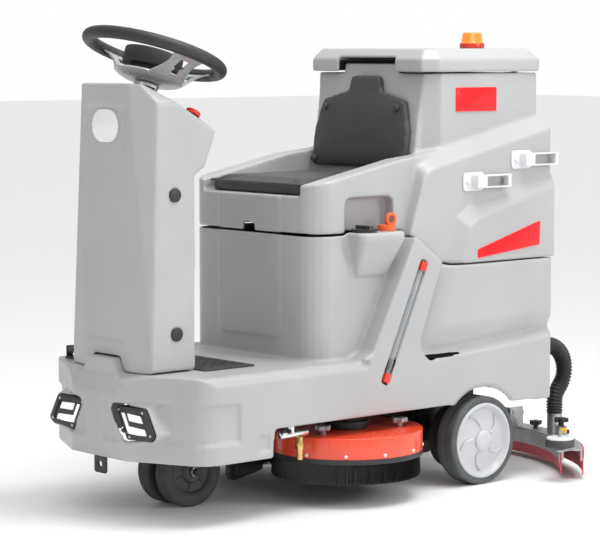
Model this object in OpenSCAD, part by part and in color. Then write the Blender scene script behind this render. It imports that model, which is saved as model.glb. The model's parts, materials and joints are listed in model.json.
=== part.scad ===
/* [Overall] */
// Distance between the front and the rear axle
wheelbase = 829; // [800:1:950]
// Bumper front to the front axle
front_overhang = 284; // [278:1:330]
// Rear axle to the rearmost point of the squeegee
rear_overhang = 484; // [470:1:540]
// Width of the lower body
body_w = 660; // [640:1:760]
// Wall of the grey mouldings
wall = 6; // [4:1:8]

/* [Lower body] */
// Height of the step floor
floor_z = 388; // [380:1:395]
// Lower edge of the side skirts
skirt_z = 235; // [225:1:250]
// Lower edge of the nose
nose_z = 160; // [150:1:175]
// Plan radius of the nose corners
nose_r = 70; // [50:1:90]
// Width of the seat box
box_w = 540; // [520:1:560]
// Rear axle to the front of the seat box
box_reach = 580; // [560:1:600]
// Plan radius of the seat box corners
box_r = 75; // [50:1:90]
// Height of the joint between the lower body and the upper moulding, at the front
split_z = 727; // [715:1:740]
// Height of that joint at the rear
rear_split_z = 627; // [615:1:635]
// Depth of the side panel grooves
groove_d = 28; // [15:1:32]
// Depth of the recess round each headlight
recess_d = 8; // [4:1:12]

/* [Upper moulding and lid] */
// Width of the recovery tank at the lid
tank_w = 500; // [470:1:520]
// Rear axle to the rear face of the tank
tank_rear = 293; // [285:1:310]
// Height of the lid's lower edge
lid_z = 1160; // [1130:1:1200]
// Height of the lid
lid_h = 66; // [55:1:80]
// Height of the seat pan
pan_z = 832; // [825:1:840]
// Thickness of the seat cushion
cushion_t = 40; // [30:1:50]
// Thickness of the back pad
pad_t = 30; // [24:1:36]
// Backward lean of the back pad
pad_lean = 7.9; // [5:0.1:10]

/* [Column and steering] */
// Height of the column's top edge
column_top = 1137; // [1110:1:1160]
// Width of the column at the floor
column_w = 350; // [340:1:390]
// Width of the column near its top
column_w_top = 330; // [322:1:380]
// Depth of the column
column_d = 158; // [150:1:175]
// Bumper front to the column front
column_set = 45; // [42:1:60]
// Radius of the steering wheel at its rim's centre line
rim_r = 180; // [165:1:190]
// Radius of the rim's section
rim_t = 17; // [13:1:18]
// Backward lean of the steering axis
rake = 19; // [17:1:21]
// Radius of the steering shafts
shaft_r = 11; // [9:1:13]

/* [Wheels] */
// Radius of the rear wheels
rear_r = 125; // [120:1:130]
// Width of the rear wheels
rear_w = 66; // [50:1:70]
// Radius of the front wheels
front_r = 97; // [92:1:99]
// Width of each front wheel
front_w = 46; // [36:1:48]
// Gap between the twin front wheels
front_gap = 32; // [30:1:40]
// Radius of the axles
axle_r = 10; // [8:1:12]

/* [Brush deck] */
// Diameter of each brush
brush_d = 410; // [380:1:430]
// Rear axle to the brush centres
deck_reach = 410; // [400:1:430]
// Height of the raised bristle tips above the floor
deck_lift = 65; // [55:1:70]
// Length of the bristles
bristle_h = 82; // [70:1:86]
// Height of the coloured shroud
shroud_h = 65; // [55:1:70]

/* [Squeegee] */
// Radius of the curved squeegee
squeegee_r = 590; // [560:1:650]
// Half angle that the squeegee covers
squeegee_a = 50; // [45:1:52]
// Width of the squeegee channel
channel_w = 58; // [50:1:64]
// Height of the raised blade tips above the floor
blade_lift = 15; // [12:1:20]
// Radius of the bumper rollers
roller_r = 42; // [34:1:46]

/* [Fits] */
// Radial running clearance of shafts
fit = 0.05; // [0.03:0.01:0.1]
// Gap between neighbouring pieces
gap = 0.3; // [0.3:0.1:0.5]

/* [Hidden] */
$fn = 64;

// y is measured from the rear axle while drawing, and place() moves it to the middle of the length
y0 = (wheelbase + front_overhang - rear_overhang) / 2;
hw = body_w / 2;
bw = box_w / 2;
tw = tank_w / 2;
fa = -wheelbase;
fy = -(wheelbase + front_overhang);
column_y = fy + column_set;
wheel_y = fa - 75;
wheel_z = column_top + 75;
// The diagonal step from the seat box to the rear body runs from the floor up to the joint
diag_foot = -420;
diag_top = -262;
// Front wall of the tank at height z, leaning like the back pad
function wall_y(z) = -128 - (1160 - z) * tan(pad_lean);
rail_x = 120;
rail_w = 40;
rail_h = 40;
rail_top = floor_z - wall - gap;
rail_z = rail_top - rail_h;
brush_x = brush_d / 2 + 3;
deck_y = -deck_reach;
shroud_z = deck_lift + 62 + shroud_h;
motor_r = 52;
inner_w = hw - groove_d - wall;
pivot_y = tank_rear + 14;
pivot_z = rear_split_z;
lid_pivot_y = tank_rear + 9;
lid_pivot_z = lid_z - 6;
pin_r = 5;
arm_y = 205;
arm_z = 175;
arm_len = 190;
arm_drop = 40;
squeegee_y = rear_overhang - channel_w / 2 - 6 - squeegee_r;
channel_z = blade_lift + 40;
channel_h = 34;
knob_z = channel_z + channel_h;
// Universal joint between the leaning and the upright steering shaft
joint_z = column_top - 172;
ball_r = 16;
shaft_len = (wheel_z - joint_z) / cos(rake);
lower_shaft_y = wheel_y - (wheel_z - joint_z) * tan(rake);

module place() translate([0, y0, 0]) children();
module both() { children(); mirror([1, 0, 0]) children(); }
module along_x(a, b) translate([a, 0, 0]) rotate([90, 0, 90]) linear_extrude(b - a) children();
module along_y(a, b) translate([0, b, 0]) rotate([90, 0, 0]) linear_extrude(b - a) children();
module tall(a, b) translate([0, 0, a]) linear_extrude(b - a) children();
module soft(r) offset(r, $fn = 24) offset(-2 * r, $fn = 24) offset(r, $fn = 24) children();
module box(a, b) translate(a) cube(b - a);
module bar_x(a, b, y, z, r) translate([a, y, z]) rotate([0, 90, 0]) cylinder(r = r, h = b - a);
module bar_y(a, b, x, z, r) translate([x, a, z]) rotate([-90, 0, 0]) cylinder(r = r, h = b - a);
module rect(x1, y1, x2, y2) translate([x1, y1]) square([x2 - x1, y2 - y1]);

// ---- lower body -------------------------------------------------------------------------
chin = 14;
module body_side() soft(8) polygon([[fy + chin, nose_z], [fy, nose_z + 50], [fy, floor_z - 50],
  [fy + chin, floor_z - 14], [fy + 50, floor_z], [diag_foot - 40, floor_z], [diag_foot, floor_z + 22],
  [diag_top, split_z - 11], [-151, rear_split_z + 10], [-107, rear_split_z - 1],
  [tank_rear, rear_split_z + 1], [tank_rear, skirt_z - 18], [-150, skirt_z],
  [fa + 62, skirt_z], [fa + 56, nose_z]]);
// The nose is flat in the middle and swept back to each side
nose_flat = 90;
nose_sweep = 115;
module body_plan(i = 0) intersection() {
  soft(nose_r) offset(delta = -i) polygon([[-nose_flat, fy], [nose_flat, fy], [hw, fy + nose_sweep],
    [hw, 600], [-hw, 600], [-hw, fy + nose_sweep]]);
  soft(30) offset(delta = -i) rect(-hw, -2000, hw, tank_rear);
}
module box_plan(i = 0) soft(box_r - i) rect(-bw + i, -box_reach + i, bw - i, 300);
// Side panel of the lower body: a groove round a raised face, made as one sloping solid each
module panel_groove() hull() {
  along_x(hw + 1, hw + 1.1) polygon([[-150, 660], [-243, 424], [-236, 392], [-205, 368],
    [320, 402], [320, 660]]);
  along_x(hw - groove_d, hw - groove_d + 0.1) polygon([[-150, 660], [-238, 424], [-222, 394],
    [-196, 386], [320, 428], [320, 660]]);
}
module panel_face() hull() {
  along_x(hw - 0.1, hw) polygon([[-92, 660], [-150, 458], [tank_rear, 476], [tank_rear, 660]]);
  along_x(hw - groove_d - 1, hw - groove_d) polygon([[-145, 660], [-226, 424], [-188, 392],
    [tank_rear, 428], [tank_rear, 660]]);
}
edge_r = 30;
relief_w = 130;
relief_t = 5;
// Low hump on the nose that the front of the column stands over
module hump(grow) polygon([[-82 - grow, floor_z - 16], [82 + grow, floor_z - 16],
  [54 + grow, floor_z + 36 + grow], [-54 - grow, floor_z + 36 + grow]]);
ledge_y = -381;
ledge_top = split_z + 6;
module ledge() hull() {
  tall(ledge_top - 22, ledge_top) soft(24) rect(bw - 34, ledge_y - 84, hw + 5, ledge_y + 84);
  tall(split_z - 115, split_z - 114) soft(10) rect(bw - 28, ledge_y - 56, bw + 12, ledge_y + 56);
}
cap_x = hw - 40;
filler_r = 20;
drain_r = 14;
filler_y = ledge_y - 38;
drain_y = ledge_y + 44;
module lower_body() color("lightgray") place() difference() {
  union() {
    intersection() {
      difference() {
        union() {
          intersection() {
            along_x(-hw, hw) body_side();
            tall(0, 900) body_plan();
          }
          difference() {
            tall(floor_z - wall, split_z) box_plan();
            box([-400, -200, 0], [400, 400, 900]);
          }
        }
        both() panel_groove();
        // Rounded side edges of the step
        both() step_edge(edge_r);
        // Small service recess in the skirt
        both() along_x(hw - 3, hw + 1) soft(6) rect(fa + 2, nose_z + 20, fa + 46, nose_z + 66);
      }
      box([-hw, fy, 0], [hw, tank_rear, 900]);
    }
    intersection() {
      both() panel_face();
      tall(0, 900) body_plan();
      box([-hw, -300, 0], [hw, 400, rear_split_z]);
    }
    ledge();
    along_y(fy + 20, column_y + 36) hump(0);
    // Pods that carry the headlights
    both() headlight_shape(lamp_y, lamp_y + 70, 7);
    along_y(-box_reach - relief_t, wall - box_reach) intersection() {
      soft(24) rect(-relief_w, floor_z + 56, relief_w, split_z + 30);
      rect(-relief_w, floor_z, relief_w, split_z);
    }
  }
  // Space under the floor, open below
  difference() {
    intersection() {
      along_x(wall - hw, hw - wall) union() {
        intersection() {
          offset(delta = -wall) body_side();
          rect(fy, 0, tank_rear, floor_z - wall);
        }
        rect(fy + chin + wall, -1, tank_rear - wall, nose_z + 60);
        rect(fa, -1, tank_rear - wall, floor_z - wall);
      }
      tall(-1, floor_z) body_plan(wall);
    }
    both() lamp_band(wall, recess_d + wall);
    both() step_edge(edge_r - wall);
  }
  // Recess that wraps each nose corner, with the lamp's pod left standing
  both() difference() {
    lamp_band(0, recess_d);
    headlight_shape(fy - 2, lamp_y + 70, 7);
  }
  both() headlight_shape(fy - 2, lamp_y, 7);
  // Battery bay, open above
  tall(floor_z, 800) intersection() {
    box_plan(wall);
    rect(-bw, -box_reach, bw, -190);
  }
  box([-inner_w, -200, floor_z], [inner_w, tank_rear - wall, 800]);
  // Joint face: a sloping cut above the rear body
  along_x(-400, 400) polygon([[diag_top, split_z - 11], [-151, rear_split_z + 10],
    [-107, rear_split_z - 1], [400, rear_split_z], [400, 900], [diag_top, 900]]);
  // Wheel arches
  both() bar_x(hw - groove_d - 60, hw + 1, 0, rear_r, rear_r + 24);
  both() bar_x(hw - 3, hw + 1, 0, rear_r, rear_r + 36);
  both() along_x(hw - 60, hw + 1) rect(-100, -1, 100, rear_r);
  // Headlight recesses, sight tube slot and its pockets, cap necks
  both() headlight_shape(lamp_y - 1, lamp_y + 16, 1);
  on_sight() box([-16, -13, -180], [6, 13, 180]);
  translate([cap_x, filler_y, ledge_top - 18]) cylinder(r = filler_r + fit, h = 40);
  translate([cap_x, drain_y, ledge_top - 18]) cylinder(r = drain_r + fit, h = 40);
  // Floor bearing of the lower steering shaft
  translate([0, lower_shaft_y, floor_z - 20]) cylinder(r = shaft_r + fit, h = 40);
}
module step_edge(r) along_y(fy - 1, diag_foot - 12) difference() {
  rect(hw - edge_r, floor_z - edge_r, hw + 1, floor_z + 1);
  translate([hw - edge_r, floor_z - edge_r]) circle(r);
}
module lamp_band(i, d) difference() {
  tall(nose_z + 53 - i, nose_z + 156 + i) rect(38 - i, fy - 1, hw + 1, fy + 230 + i);
  tall(0, floor_z) body_plan(d);
}
lamp_y = fy + 26;
bezel_h = 3;
module headlight_outline(grow = 0) offset(delta = grow) soft(10) polygon([[66, 304], [192, 304],
  [232, 238], [218, 226], [116, 218]]);
module headlight_shape(a, b, grow = 0) along_y(a, b) headlight_outline(grow);

// ---- chassis ----------------------------------------------------------------------------
module chassis_rails() color("dimgray") place() both()
  box([rail_x - rail_w / 2, fy + 60, rail_z], [rail_x + rail_w / 2, tank_rear - 20, rail_top]);
cross_w = rail_x - rail_w / 2;
bush_r = 9;
guide_x = 24;
bush_z = rail_top - 36 - deck_lift;
module cross(y, w) box([-cross_w, y - w / 2, rail_z], [cross_w, y + w / 2, rail_top]);
module chassis_crossmembers() color("dimgray") place() {
  cross(fy + 80, 30);
  // Fork bearing
  difference() {
    union() {
      cross(fa, 60);
      translate([0, fa, 226]) cylinder(r = 34, h = rail_z - 225);
    }
    translate([0, fa, 200]) cylinder(r = 20 + fit, h = 200);
  }
  cross(-600, 30);
  // Long bushes, which still hold the guide rods when the deck is down
  difference() {
    union() {
      cross(deck_y, 60);
      both() translate([guide_x, deck_y, bush_z]) cylinder(r = bush_r + 5, h = rail_z - bush_z + 1);
    }
    both() translate([guide_x, deck_y, 200]) cylinder(r = bush_r + fit, h = 200);
  }
  cross(150, 30);
  // Brackets that carry the squeegee arm
  both() difference() {
    box([60, 150 - 15, arm_z - 20], [68, arm_y + 20, rail_z]);
    bar_x(50, 80, arm_y, arm_z, pin_r + fit);
  }
  box([-cross_w, tank_rear - 60, rail_z], [cross_w, tank_rear - 20, rail_top]);
}
module transaxle() color("#555759") place() difference() {
  union() {
    bar_x(-95, 95, 0, rear_r, 66);
    bar_x(-60, 60, -40, rear_r + 78, 46);
    both() bar_x(60, 206, 0, rear_r, 30);
    both() bar_x(205, hw - rear_w - 12, 0, rear_r, 92);
    both() box([rail_x - 12, -40, rear_r + 20], [rail_x + 12, 40, rail_z]);
  }
  bar_x(-hw, hw, 0, rear_r, axle_r + fit);
}
module batteries() color("#2b2b2b") place() both() {
  box([6, -box_reach + 30, floor_z + gap], [216, -220, split_z - 130]);
  for (y = [-500, -270]) translate([110, y, split_z - 130]) cylinder(r = 9, h = 18);
}
tow_y = fy + chin + wall + gap;
tow_z = nose_z - 20;
module tow_plate() color("#222222") place() difference() {
  union() {
    along_y(tow_y, tow_y + 6) soft(8) rect(-26, nose_z - 44, 26, rail_z - gap);
    box([-18, tow_y + 1, rail_z - 8], [18, fy + 90, rail_z - gap]);
  }
  bar_y(tow_y - 1, tow_y + 8, 0, tow_z, 8);
}
module skid_block() color("#303030") place() {
  along_x(-8, 8) soft(3) polygon([[-656, 46], [-640, 42], [-560, 58], [-540, 62], [-540, rail_z],
    [-656, rail_z]]);
  both() box([8, -650, 52], [22, -638, rail_z]);
}
module water_pipe() color("silver") place() difference() {
  union() {
    bar_y(-720, -630, hw - 36, 212, 11);
    box([hw - 42, -702, 214], [hw - wall - gap, -698, skirt_z + 30]);
  }
  bar_y(-650, -629, hw - 36, 212, 8);
}
module water_valve() color("goldenrod") place() translate([hw - 36, -652, 0]) {
  translate([0, 0, 140]) cylinder(r = 9, h = 61 - gap);
  translate([0, 0, 168]) cylinder(r = 13, h = 22, $fn = 6);
}
// ---- column -----------------------------------------------------------------------------
module column_side(i = 0) offset(delta = -i) soft(6) polygon([[column_y, floor_z + gap],
  [column_y, column_top], [column_y + 28, column_top], [column_y + 239, column_top - 123],
  [column_y + 199, column_top - 218], [column_y + 166, column_top - 238],
  [column_y + column_d, floor_z + gap]]);
module column_front(i = 0) offset(delta = -i) soft(10) polygon([
  [-column_w / 2, floor_z + gap], [-column_w_top / 2, column_top - 50],
  [-column_w_top / 2 + 40, column_top], [column_w_top / 2 - 40, column_top],
  [column_w_top / 2, column_top - 50], [column_w / 2, floor_z + gap]]);
// In plan the front is flat in the middle and swept back at the corners, more so at the top
column_flat = 100;
module column_slice(z, w, sweep, i) tall(z - 1, z) offset(delta = -i) polygon([
  [-column_flat, column_y], [column_flat, column_y], [w / 2, column_y + sweep], [w / 2, column_y + 400],
  [-w / 2, column_y + 400], [-w / 2, column_y + sweep]]);
module column_plan(i = 0) hull() {
  column_slice(floor_z + gap, column_w, 17, i);
  column_slice(column_top + 1, column_w_top, 48, i);
}
module column_body() color("darkgray") place() difference() {
  intersection() {
    along_x(-300, 300) column_side();
    along_y(fy, fy + 400) column_front();
    column_plan();
  }
  difference() {
    intersection() {
      along_x(-300, 300) union() {
        column_side(wall);
        rect(column_y + wall, 200, column_y + column_d - wall, 500);
      }
      along_y(fy, fy + 400) union() {
        column_front(wall);
        rect(-column_w / 2 + wall, 200, column_w / 2 - wall, 500);
      }
      union() {
        column_plan(wall);
        column_slice(floor_z + 3, column_w, 17, wall);
      }
    }
    strip(strip_d + wall, wall);
  }
  // Long recessed strip of the front, and the notch over the nose
  strip(strip_d, 0);
  along_y(column_y - 1, column_y + 40) hump(2);
  // Hole for the steering bearing, seats for the plugs
  on_steering() translate([0, 0, -260]) cylinder(r = 30, h = 200);
  for (z = plug_z) bar_x(-300, 300, column_y + plug_y, z, 14 + fit);
  on_dash() for (x = dash_x) translate([x, dash_d, -20]) cylinder(r = 9, h = 30);
}
strip_d = 4;
module strip(d, grow) along_y(column_y - 1, column_y + d) offset(delta = grow) soft(8)
  polygon([[-82, floor_z + 76], [82, floor_z + 76], [86, column_top - 56], [-86, column_top - 56]]);
plug_z = [floor_z + 100, floor_z + 461];
plug_y = 98;
module column_plugs() color("#222222") place() both() for (z = plug_z) {
  x = column_w / 2 + (column_w_top - column_w) / 2 * (z - floor_z) / (column_top - 50 - floor_z);
  bar_x(x - wall - 4, x + 3, column_y + plug_y, z, 14);
  bar_x(x + 0.5, x + 4, column_y + plug_y, z, 18);
}
module badge() color("white") place()
  along_y(column_y - 1, column_y + strip_d - gap) soft(42) rect(-56, column_top - 153, 56, column_top - 67);
// The dash top slopes down to the driver
dash_a = atan2(123, 211);
module on_dash(d = 0) translate([0, column_y + 28, column_top]) rotate([-dash_a, 0, 0])
  translate([0, d, 0]) children();
module dash_panel() color("#2a2a2a") place() on_dash() difference() {
  tall(gap, 4) soft(10) rect(-150, 150, 150, 234);
  for (x = dash_x) translate([x, dash_d, -1]) cylinder(r = 8, h = 10);
}
dash_x = [-110, -60, 110];
dash_d = 192;
module dash_part(x) place() on_dash() translate([x, dash_d, 0]) children();
module emergency_stop() color("red") dash_part(dash_x[2]) {
  translate([0, 0, gap]) cylinder(r = 8 - fit, h = 18);
  translate([0, 0, 14]) cylinder(r = 20, h = 14);
}
module key_switch() color("silver") dash_part(dash_x[1]) {
  translate([0, 0, gap]) cylinder(r = 8 - fit, h = 10);
  translate([-1.5, -10, 8]) cube([3, 20, 24]);
}
module speed_dial() color("#333333") dash_part(dash_x[0]) {
  translate([0, 0, gap]) cylinder(r = 8 - fit, h = 12);
  translate([0, 0, 8]) cylinder(r = 15, h = 14);
}
module headlight_bezels() color("#2c2e30") place() both() difference() {
  headlight_shape(lamp_y - bezel_h, lamp_y + 16 - gap, 0);
  along_y(lamp_y - bezel_h - 1, lamp_y + 8) headlight_outline(-14);
}
module headlight_lenses() color("whitesmoke") place() both()
  headlight_shape(lamp_y - 1, lamp_y + 8 - gap, -14 - gap);
module floor_mat() color("#3a3a3a") place()
  tall(floor_z + gap, floor_z + 4) soft(12) rect(-208, column_y + column_d + 6, 208, fa + 99);
pedal_x = -232;
pedal_y = fy + 107;
pedal_z = floor_z + 26;
module pedal_bracket() color("#222222") place() difference() {
  union() {
    box([pedal_x - 24, pedal_y - 14, floor_z + gap], [pedal_x + 24, pedal_y + 14, floor_z + 5]);
    for (s = [-1, 1]) box([pedal_x + s * 22 - 2, pedal_y - 10, floor_z + 4],
      [pedal_x + s * 22 + 2, pedal_y + 10, pedal_z + 9]);
  }
  bar_x(pedal_x - 40, pedal_x + 40, pedal_y, pedal_z, pin_r + fit);
}
module pedal() color("#333333") place() {
  bar_x(pedal_x - 28, pedal_x + 28, pedal_y, pedal_z, pin_r);
  translate([pedal_x, pedal_y, pedal_z]) rotate([14, 0, 0]) {
    box([-19, -9, -7], [19, 9, 7]);
    box([-19, 0, 0], [19, 130, 7]);
  }
}
// ---- steering ---------------------------------------------------------------------------
module on_steering() translate([0, wheel_y, wheel_z]) rotate([-rake, 0, 0]) children();
module steering_rim() color("#222222") place() on_steering()
  rotate_extrude() translate([rim_r, 0]) circle(rim_t, $fn = 32);
hub_drop = 52;
module steering_spokes() color("#8d9093") place() on_steering() difference() {
  union() {
    translate([0, 0, -hub_drop - 24]) cylinder(r = 30, h = 24);
    translate([0, 0, -hub_drop]) cylinder(r1 = 58, r2 = 84, h = 22);
    for (a = [30, 150, 270]) rotate(a) hull() {
      translate([50, -34, -hub_drop + 8]) cube([10, 68, 12]);
      translate([rim_r - rim_t - 6, -22, -10]) cube([4.2, 44, 10]);
    }
  }
  translate([0, 0, -hub_drop + 6]) cylinder(r1 = 48, r2 = 70, h = 30);
  translate([0, 0, -hub_drop - 25]) cylinder(r = shaft_r + fit, h = 60);
}
module steering_shaft() color("silver") place() on_steering() {
  translate([0, 0, ball_r + gap - shaft_len]) cylinder(r = shaft_r, h = shaft_len - ball_r - gap - hub_drop + 12);
  translate([0, 0, -hub_drop + 6 + gap]) cylinder(r = 17, h = 8, $fn = 6);
}
module steering_bearing() color("gray") place() on_steering() difference() {
  union() {
    translate([0, 0, -150]) cylinder(r = 30 - fit, h = 60);
    translate([0, 0, -110]) cylinder(r = 36, h = 8);
  }
  translate([0, 0, -160]) cylinder(r = shaft_r + fit, h = 80);
}
drive_r = 20;
driven_r = 46;
sprocket_z = 212;
module lower_shaft() color("silver") place() translate([0, lower_shaft_y, 0]) {
  translate([0, 0, sprocket_z - 6]) cylinder(r = shaft_r, h = joint_z - sprocket_z);
  translate([0, 0, sprocket_z]) cylinder(r = drive_r, h = 12);
  translate([0, 0, joint_z]) sphere(r = ball_r);
}
module chain_loop(grow) hull() {
  translate([0, lower_shaft_y]) circle(drive_r + grow, $fn = 32);
  translate([0, fa]) circle(driven_r + grow, $fn = 32);
}
module steering_chain() color("#444444") place() tall(sprocket_z + 2, sprocket_z + 10)
  difference() {
    chain_loop(7);
    chain_loop(gap);
  }
module fork() color("#3c3f41") place() translate([0, fa, 0]) {
  translate([0, 0, sprocket_z]) cylinder(r = driven_r, h = 12);
  translate([0, 0, 210]) cylinder(r = 20, h = rail_top - 210 - 6);
  box([-front_gap / 2 + 4, -30, front_r - 26], [front_gap / 2 - 4, 30, sprocket_z + 2]);
  bar_x(-front_gap / 2 - front_w - 24, front_gap / 2 + front_w + 24, 0, front_r, axle_r);
}
// ---- wheels: drawn along x, outer face at +x --------------------------------------------
module tyre(r, w, rim, edge) rotate([0, 90, 0]) rotate_extrude($fn = 96)
  soft(edge) rect(rim, -w / 2, r, w / 2);
module front_tyre() translate([0, fa, front_r]) tyre(front_r, front_w, 66, 8);
module front_hub() translate([0, fa, front_r]) rotate([0, 90, 0]) difference() {
  union() {
    translate([0, 0, -front_w / 2 + 3]) cylinder(r = 66 - gap, h = front_w - 6);
    translate([0, 0, -front_w / 2 - 2]) cylinder(r = 26, h = front_w + 4);
  }
  translate([0, 0, front_w / 2 - 14]) difference() {
    cylinder(r = 58, h = 20);
    cylinder(r = 27, h = 20);
  }
  translate([0, 0, -front_w]) cylinder(r = axle_r + fit, h = 2 * front_w);
}
front_x = (front_gap + front_w) / 2;
module front_left_tyre() color("#4a4b4d") place() translate([front_x, 0, 0]) front_tyre();
module front_left_hub() color("#333333") place() translate([front_x, 0, 0]) front_hub();
module front_right_tyre() color("#4a4b4d") place() mirror([1, 0, 0]) translate([front_x, 0, 0]) front_tyre();
module front_right_hub() color("#333333") place() mirror([1, 0, 0]) translate([front_x, 0, 0]) front_hub();
rim_rear_r = rear_r * 0.855;
rear_x = hw + 5 - rear_w / 2;
module rear_tyre() translate([rear_x, 0, rear_r]) tyre(rear_r, rear_w, rim_rear_r, 7);
module rear_rim() translate([rear_x, 0, rear_r]) rotate([0, 90, 0]) {
  difference() {
    translate([0, 0, -rear_w / 2 + 4]) cylinder(r = rim_rear_r - gap, h = rear_w - 6);
    translate([0, 0, rear_w / 2 - 14]) cylinder(r = rim_rear_r - 12, h = 40);
    translate([0, 0, -rear_w / 2 - 1]) cylinder(r = rim_rear_r - 12, h = rear_w - 22);
  }
  translate([0, 0, -rear_w / 2 + 2]) cylinder(r = 30, h = rear_w + 2);
  translate([0, 0, -rear_x + 100]) cylinder(r = axle_r, h = rear_x - 100);
}
module rear_left_tyre() color("#5a6063") place() rear_tyre();
module rear_left_rim() color("white") place() rear_rim();
module rear_right_tyre() color("#5a6063") place() mirror([1, 0, 0]) rear_tyre();
module rear_right_rim() color("white") place() mirror([1, 0, 0]) rear_rim();
// ---- upper moulding: seat surround and recovery tank ------------------------------------
joint_gap = 3;
shoulder_x = hw - 23;
module tank_plan(i = 0) offset(delta = -i) polygon([[-tw, 400], [tw, 400], [tw, -90], [tw - 36, -136],
  [tw - 36, -400], [36 - tw, -400], [36 - tw, -136], [-tw, -90]]);
module tank_block() intersection() {
  along_x(-tw, tw) soft(6) polygon([[wall_y(lid_z - gap), lid_z - gap], [tank_rear, lid_z - gap],
    [tank_rear, rear_split_z + 20], [-90, rear_split_z + 20], [wall_y(800), 800]]);
  tall(600, 1300) tank_plan();
}
module shoulder() hull() {
  along_x(-shoulder_x, shoulder_x) shoulder_line(0);
  along_x(-tw, tw) shoulder_line(34);
}
module shoulder_line(rise) polygon([[diag_top, split_z - 11 + joint_gap], [-213, 866 + rise / 2],
  [-200, 884 + rise], [-178, 897 + rise], [tank_rear, 1000 + rise],
  [tank_rear, rear_split_z + joint_gap], [-105, rear_split_z + joint_gap - 1],
  [-149, rear_split_z + 10 + joint_gap]]);
module relief() hull() {
  along_x(3 - hw, hw - 3) polygon([[-70, rear_split_z + 4], [-50, 730], [-15, 752],
    [tank_rear, 833], [tank_rear, rear_split_z + joint_gap], [-65, rear_split_z + joint_gap]]);
  along_x(-shoulder_x, shoulder_x) polygon([[-118, rear_split_z + 8], [-88, 760], [-34, 794],
    [tank_rear, 874], [tank_rear, rear_split_z + joint_gap], [-100, rear_split_z + joint_gap]]);
}
module surround() intersection() {
  union() {
    tall(split_z + joint_gap, 1000) box_plan();
    box([-relief_w, -box_reach - relief_t, split_z + joint_gap], [relief_w, -box_reach + 20, 1000]);
  }
  along_x(-bw, bw) polygon([[-700, 700], [-700, 845], [-575, 862], [diag_top, 924], [-140, 936],
    [-140, 700]]);
}
well_x = 206;
module upper_tank() color("lightgray") place() difference() {
  union() {
    tank_block();
    intersection() {
      shoulder();
      box([-hw, -400, 0], [hw, tank_rear, 1300]);
    }
    intersection() {
      relief();
      box([-hw, -400, 0], [hw, tank_rear, 1300]);
    }
    surround();
    // Raised tab behind the back pad, which fills the notch of the lid
    along_x(-114, 114) polygon([[wall_y(1100), 1100], [wall_y(lid_z + 24), lid_z + 24],
      [wall_y(lid_z) + 12, lid_z + 24], [wall_y(lid_z) + 12, 1100]]);
    for (x = [-140, 120]) box([x, tank_rear - 4, lid_pivot_z - 18], [x + 20, lid_pivot_y + 7, lid_pivot_z + 4]);
    both() box([190, tank_rear - 4, pivot_z + 4], [210, pivot_y + 8, pivot_z + 34]);
    both() bar_x(190, 210, pivot_y, pivot_z, 8);
  }
  // Inside of the tank, open below the lid
  intersection() {
    along_x(-tw, tw) polygon([[wall_y(780) + wall, 780], [wall_y(1300) + wall, 1300],
      [tank_rear - wall, 1300], [tank_rear - wall, 700], [-100, 700]]);
    tall(600, 1310) tank_plan(wall);
  }
  along_x(-inner_w, inner_w) polygon([[-190, 745], [-165, 860], [-150, 876], [tank_rear - wall, 972],
    [tank_rear - wall, rear_split_z + 12], [-98, rear_split_z + 12], [-136, rear_split_z + 26]]);
  // Space under the seat pan, open below
  intersection() {
    tall(600, pan_z - wall) box_plan(wall);
    box([-bw + 43, -700, 600], [bw - 43, -215, 900]);
  }
  // Seat well, grip notch, niche over the caps
  along_x(-well_x, well_x) polygon([[-700, pan_z], [-700, 1100], [wall_y(1100), 1100],
    [wall_y(pan_z), pan_z]]);
  along_y(-700, wall - box_reach + 12) soft(4) rect(-24, split_z - 40, 24, split_z + 26);
  along_x(bw - 37, bw + 40) soft(20) rect(ledge_y - 88, split_z - 60, ledge_y + 88, split_z + 98);
  for (x = [-141, 141]) bar_x(min(x, 0), max(x, 0), lid_pivot_y, lid_pivot_z, pin_r + fit);
  bar_x(-220, 220, pivot_y, pivot_z, pin_r + fit);
}
module hinge_base() color("gray") place() both() {
  for (x = [176, 212]) box([x, tank_rear + 2, pivot_z - 38], [x + 12, pivot_y + 8, pivot_z + 6]);
  box([176, tank_rear + gap, pivot_z - 38], [224, tank_rear + 5, pivot_z - 14]);
  bar_x(176, 224, pivot_y, pivot_z, pin_r);
}
module seat_cushion() color("#303132") place()
  tall(pan_z + gap, pan_z + cushion_t) soft(18)
    rect(6 - well_x, 14 - box_reach, well_x - 6, wall_y(pan_z) - 1);
module on_wall() translate([0, wall_y(lid_z), lid_z]) rotate([-pad_lean, 0, 0]) children();
module back_pad() color("#303132") place() on_wall() {
  along_y(-pad_t - gap, -gap) soft(12) polygon([[-200, -268], [-202, -160], [-176, -64],
    [-70, -40], [-58, 6], [58, 6], [70, -40], [176, -64], [202, -160], [200, -268]]);
  for (p = [[150, -90], [182, -246]]) both() bar_y(-pad_t - 3, -pad_t + 5, p[0], p[1], 11);
}
module reflectors() color("red") place() both() {
  along_x(tw + gap, tw + 3) soft(3) rect(-36, lid_z - 110, 124, lid_z - 43);
  along_x(hw - 3 + gap, hw) soft(4) polygon([[-22, 642], [-22, 667], [228, 736], [226, 668]]);
}
clip_l = 158;
clip_h = 36;
module side_clips() color("whitesmoke") place() both() for (p = [[-52, 856], [140, 912]])
  translate([0, p[0], p[1]]) {
    along_x(shoulder_x + gap, shoulder_x + 4) soft(12) rect(-12, -26, 70, 26);
    along_x(shoulder_x + 4, shoulder_x + 26) difference() {
      rect(24, -clip_h / 2, clip_l, clip_h / 2);
      rect(62, -clip_h / 2 + 4, clip_l - 12, clip_h / 2 - 4);
    }
    bar_x(shoulder_x + 4, shoulder_x + 9, 6, 0, 7);
  }
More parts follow.
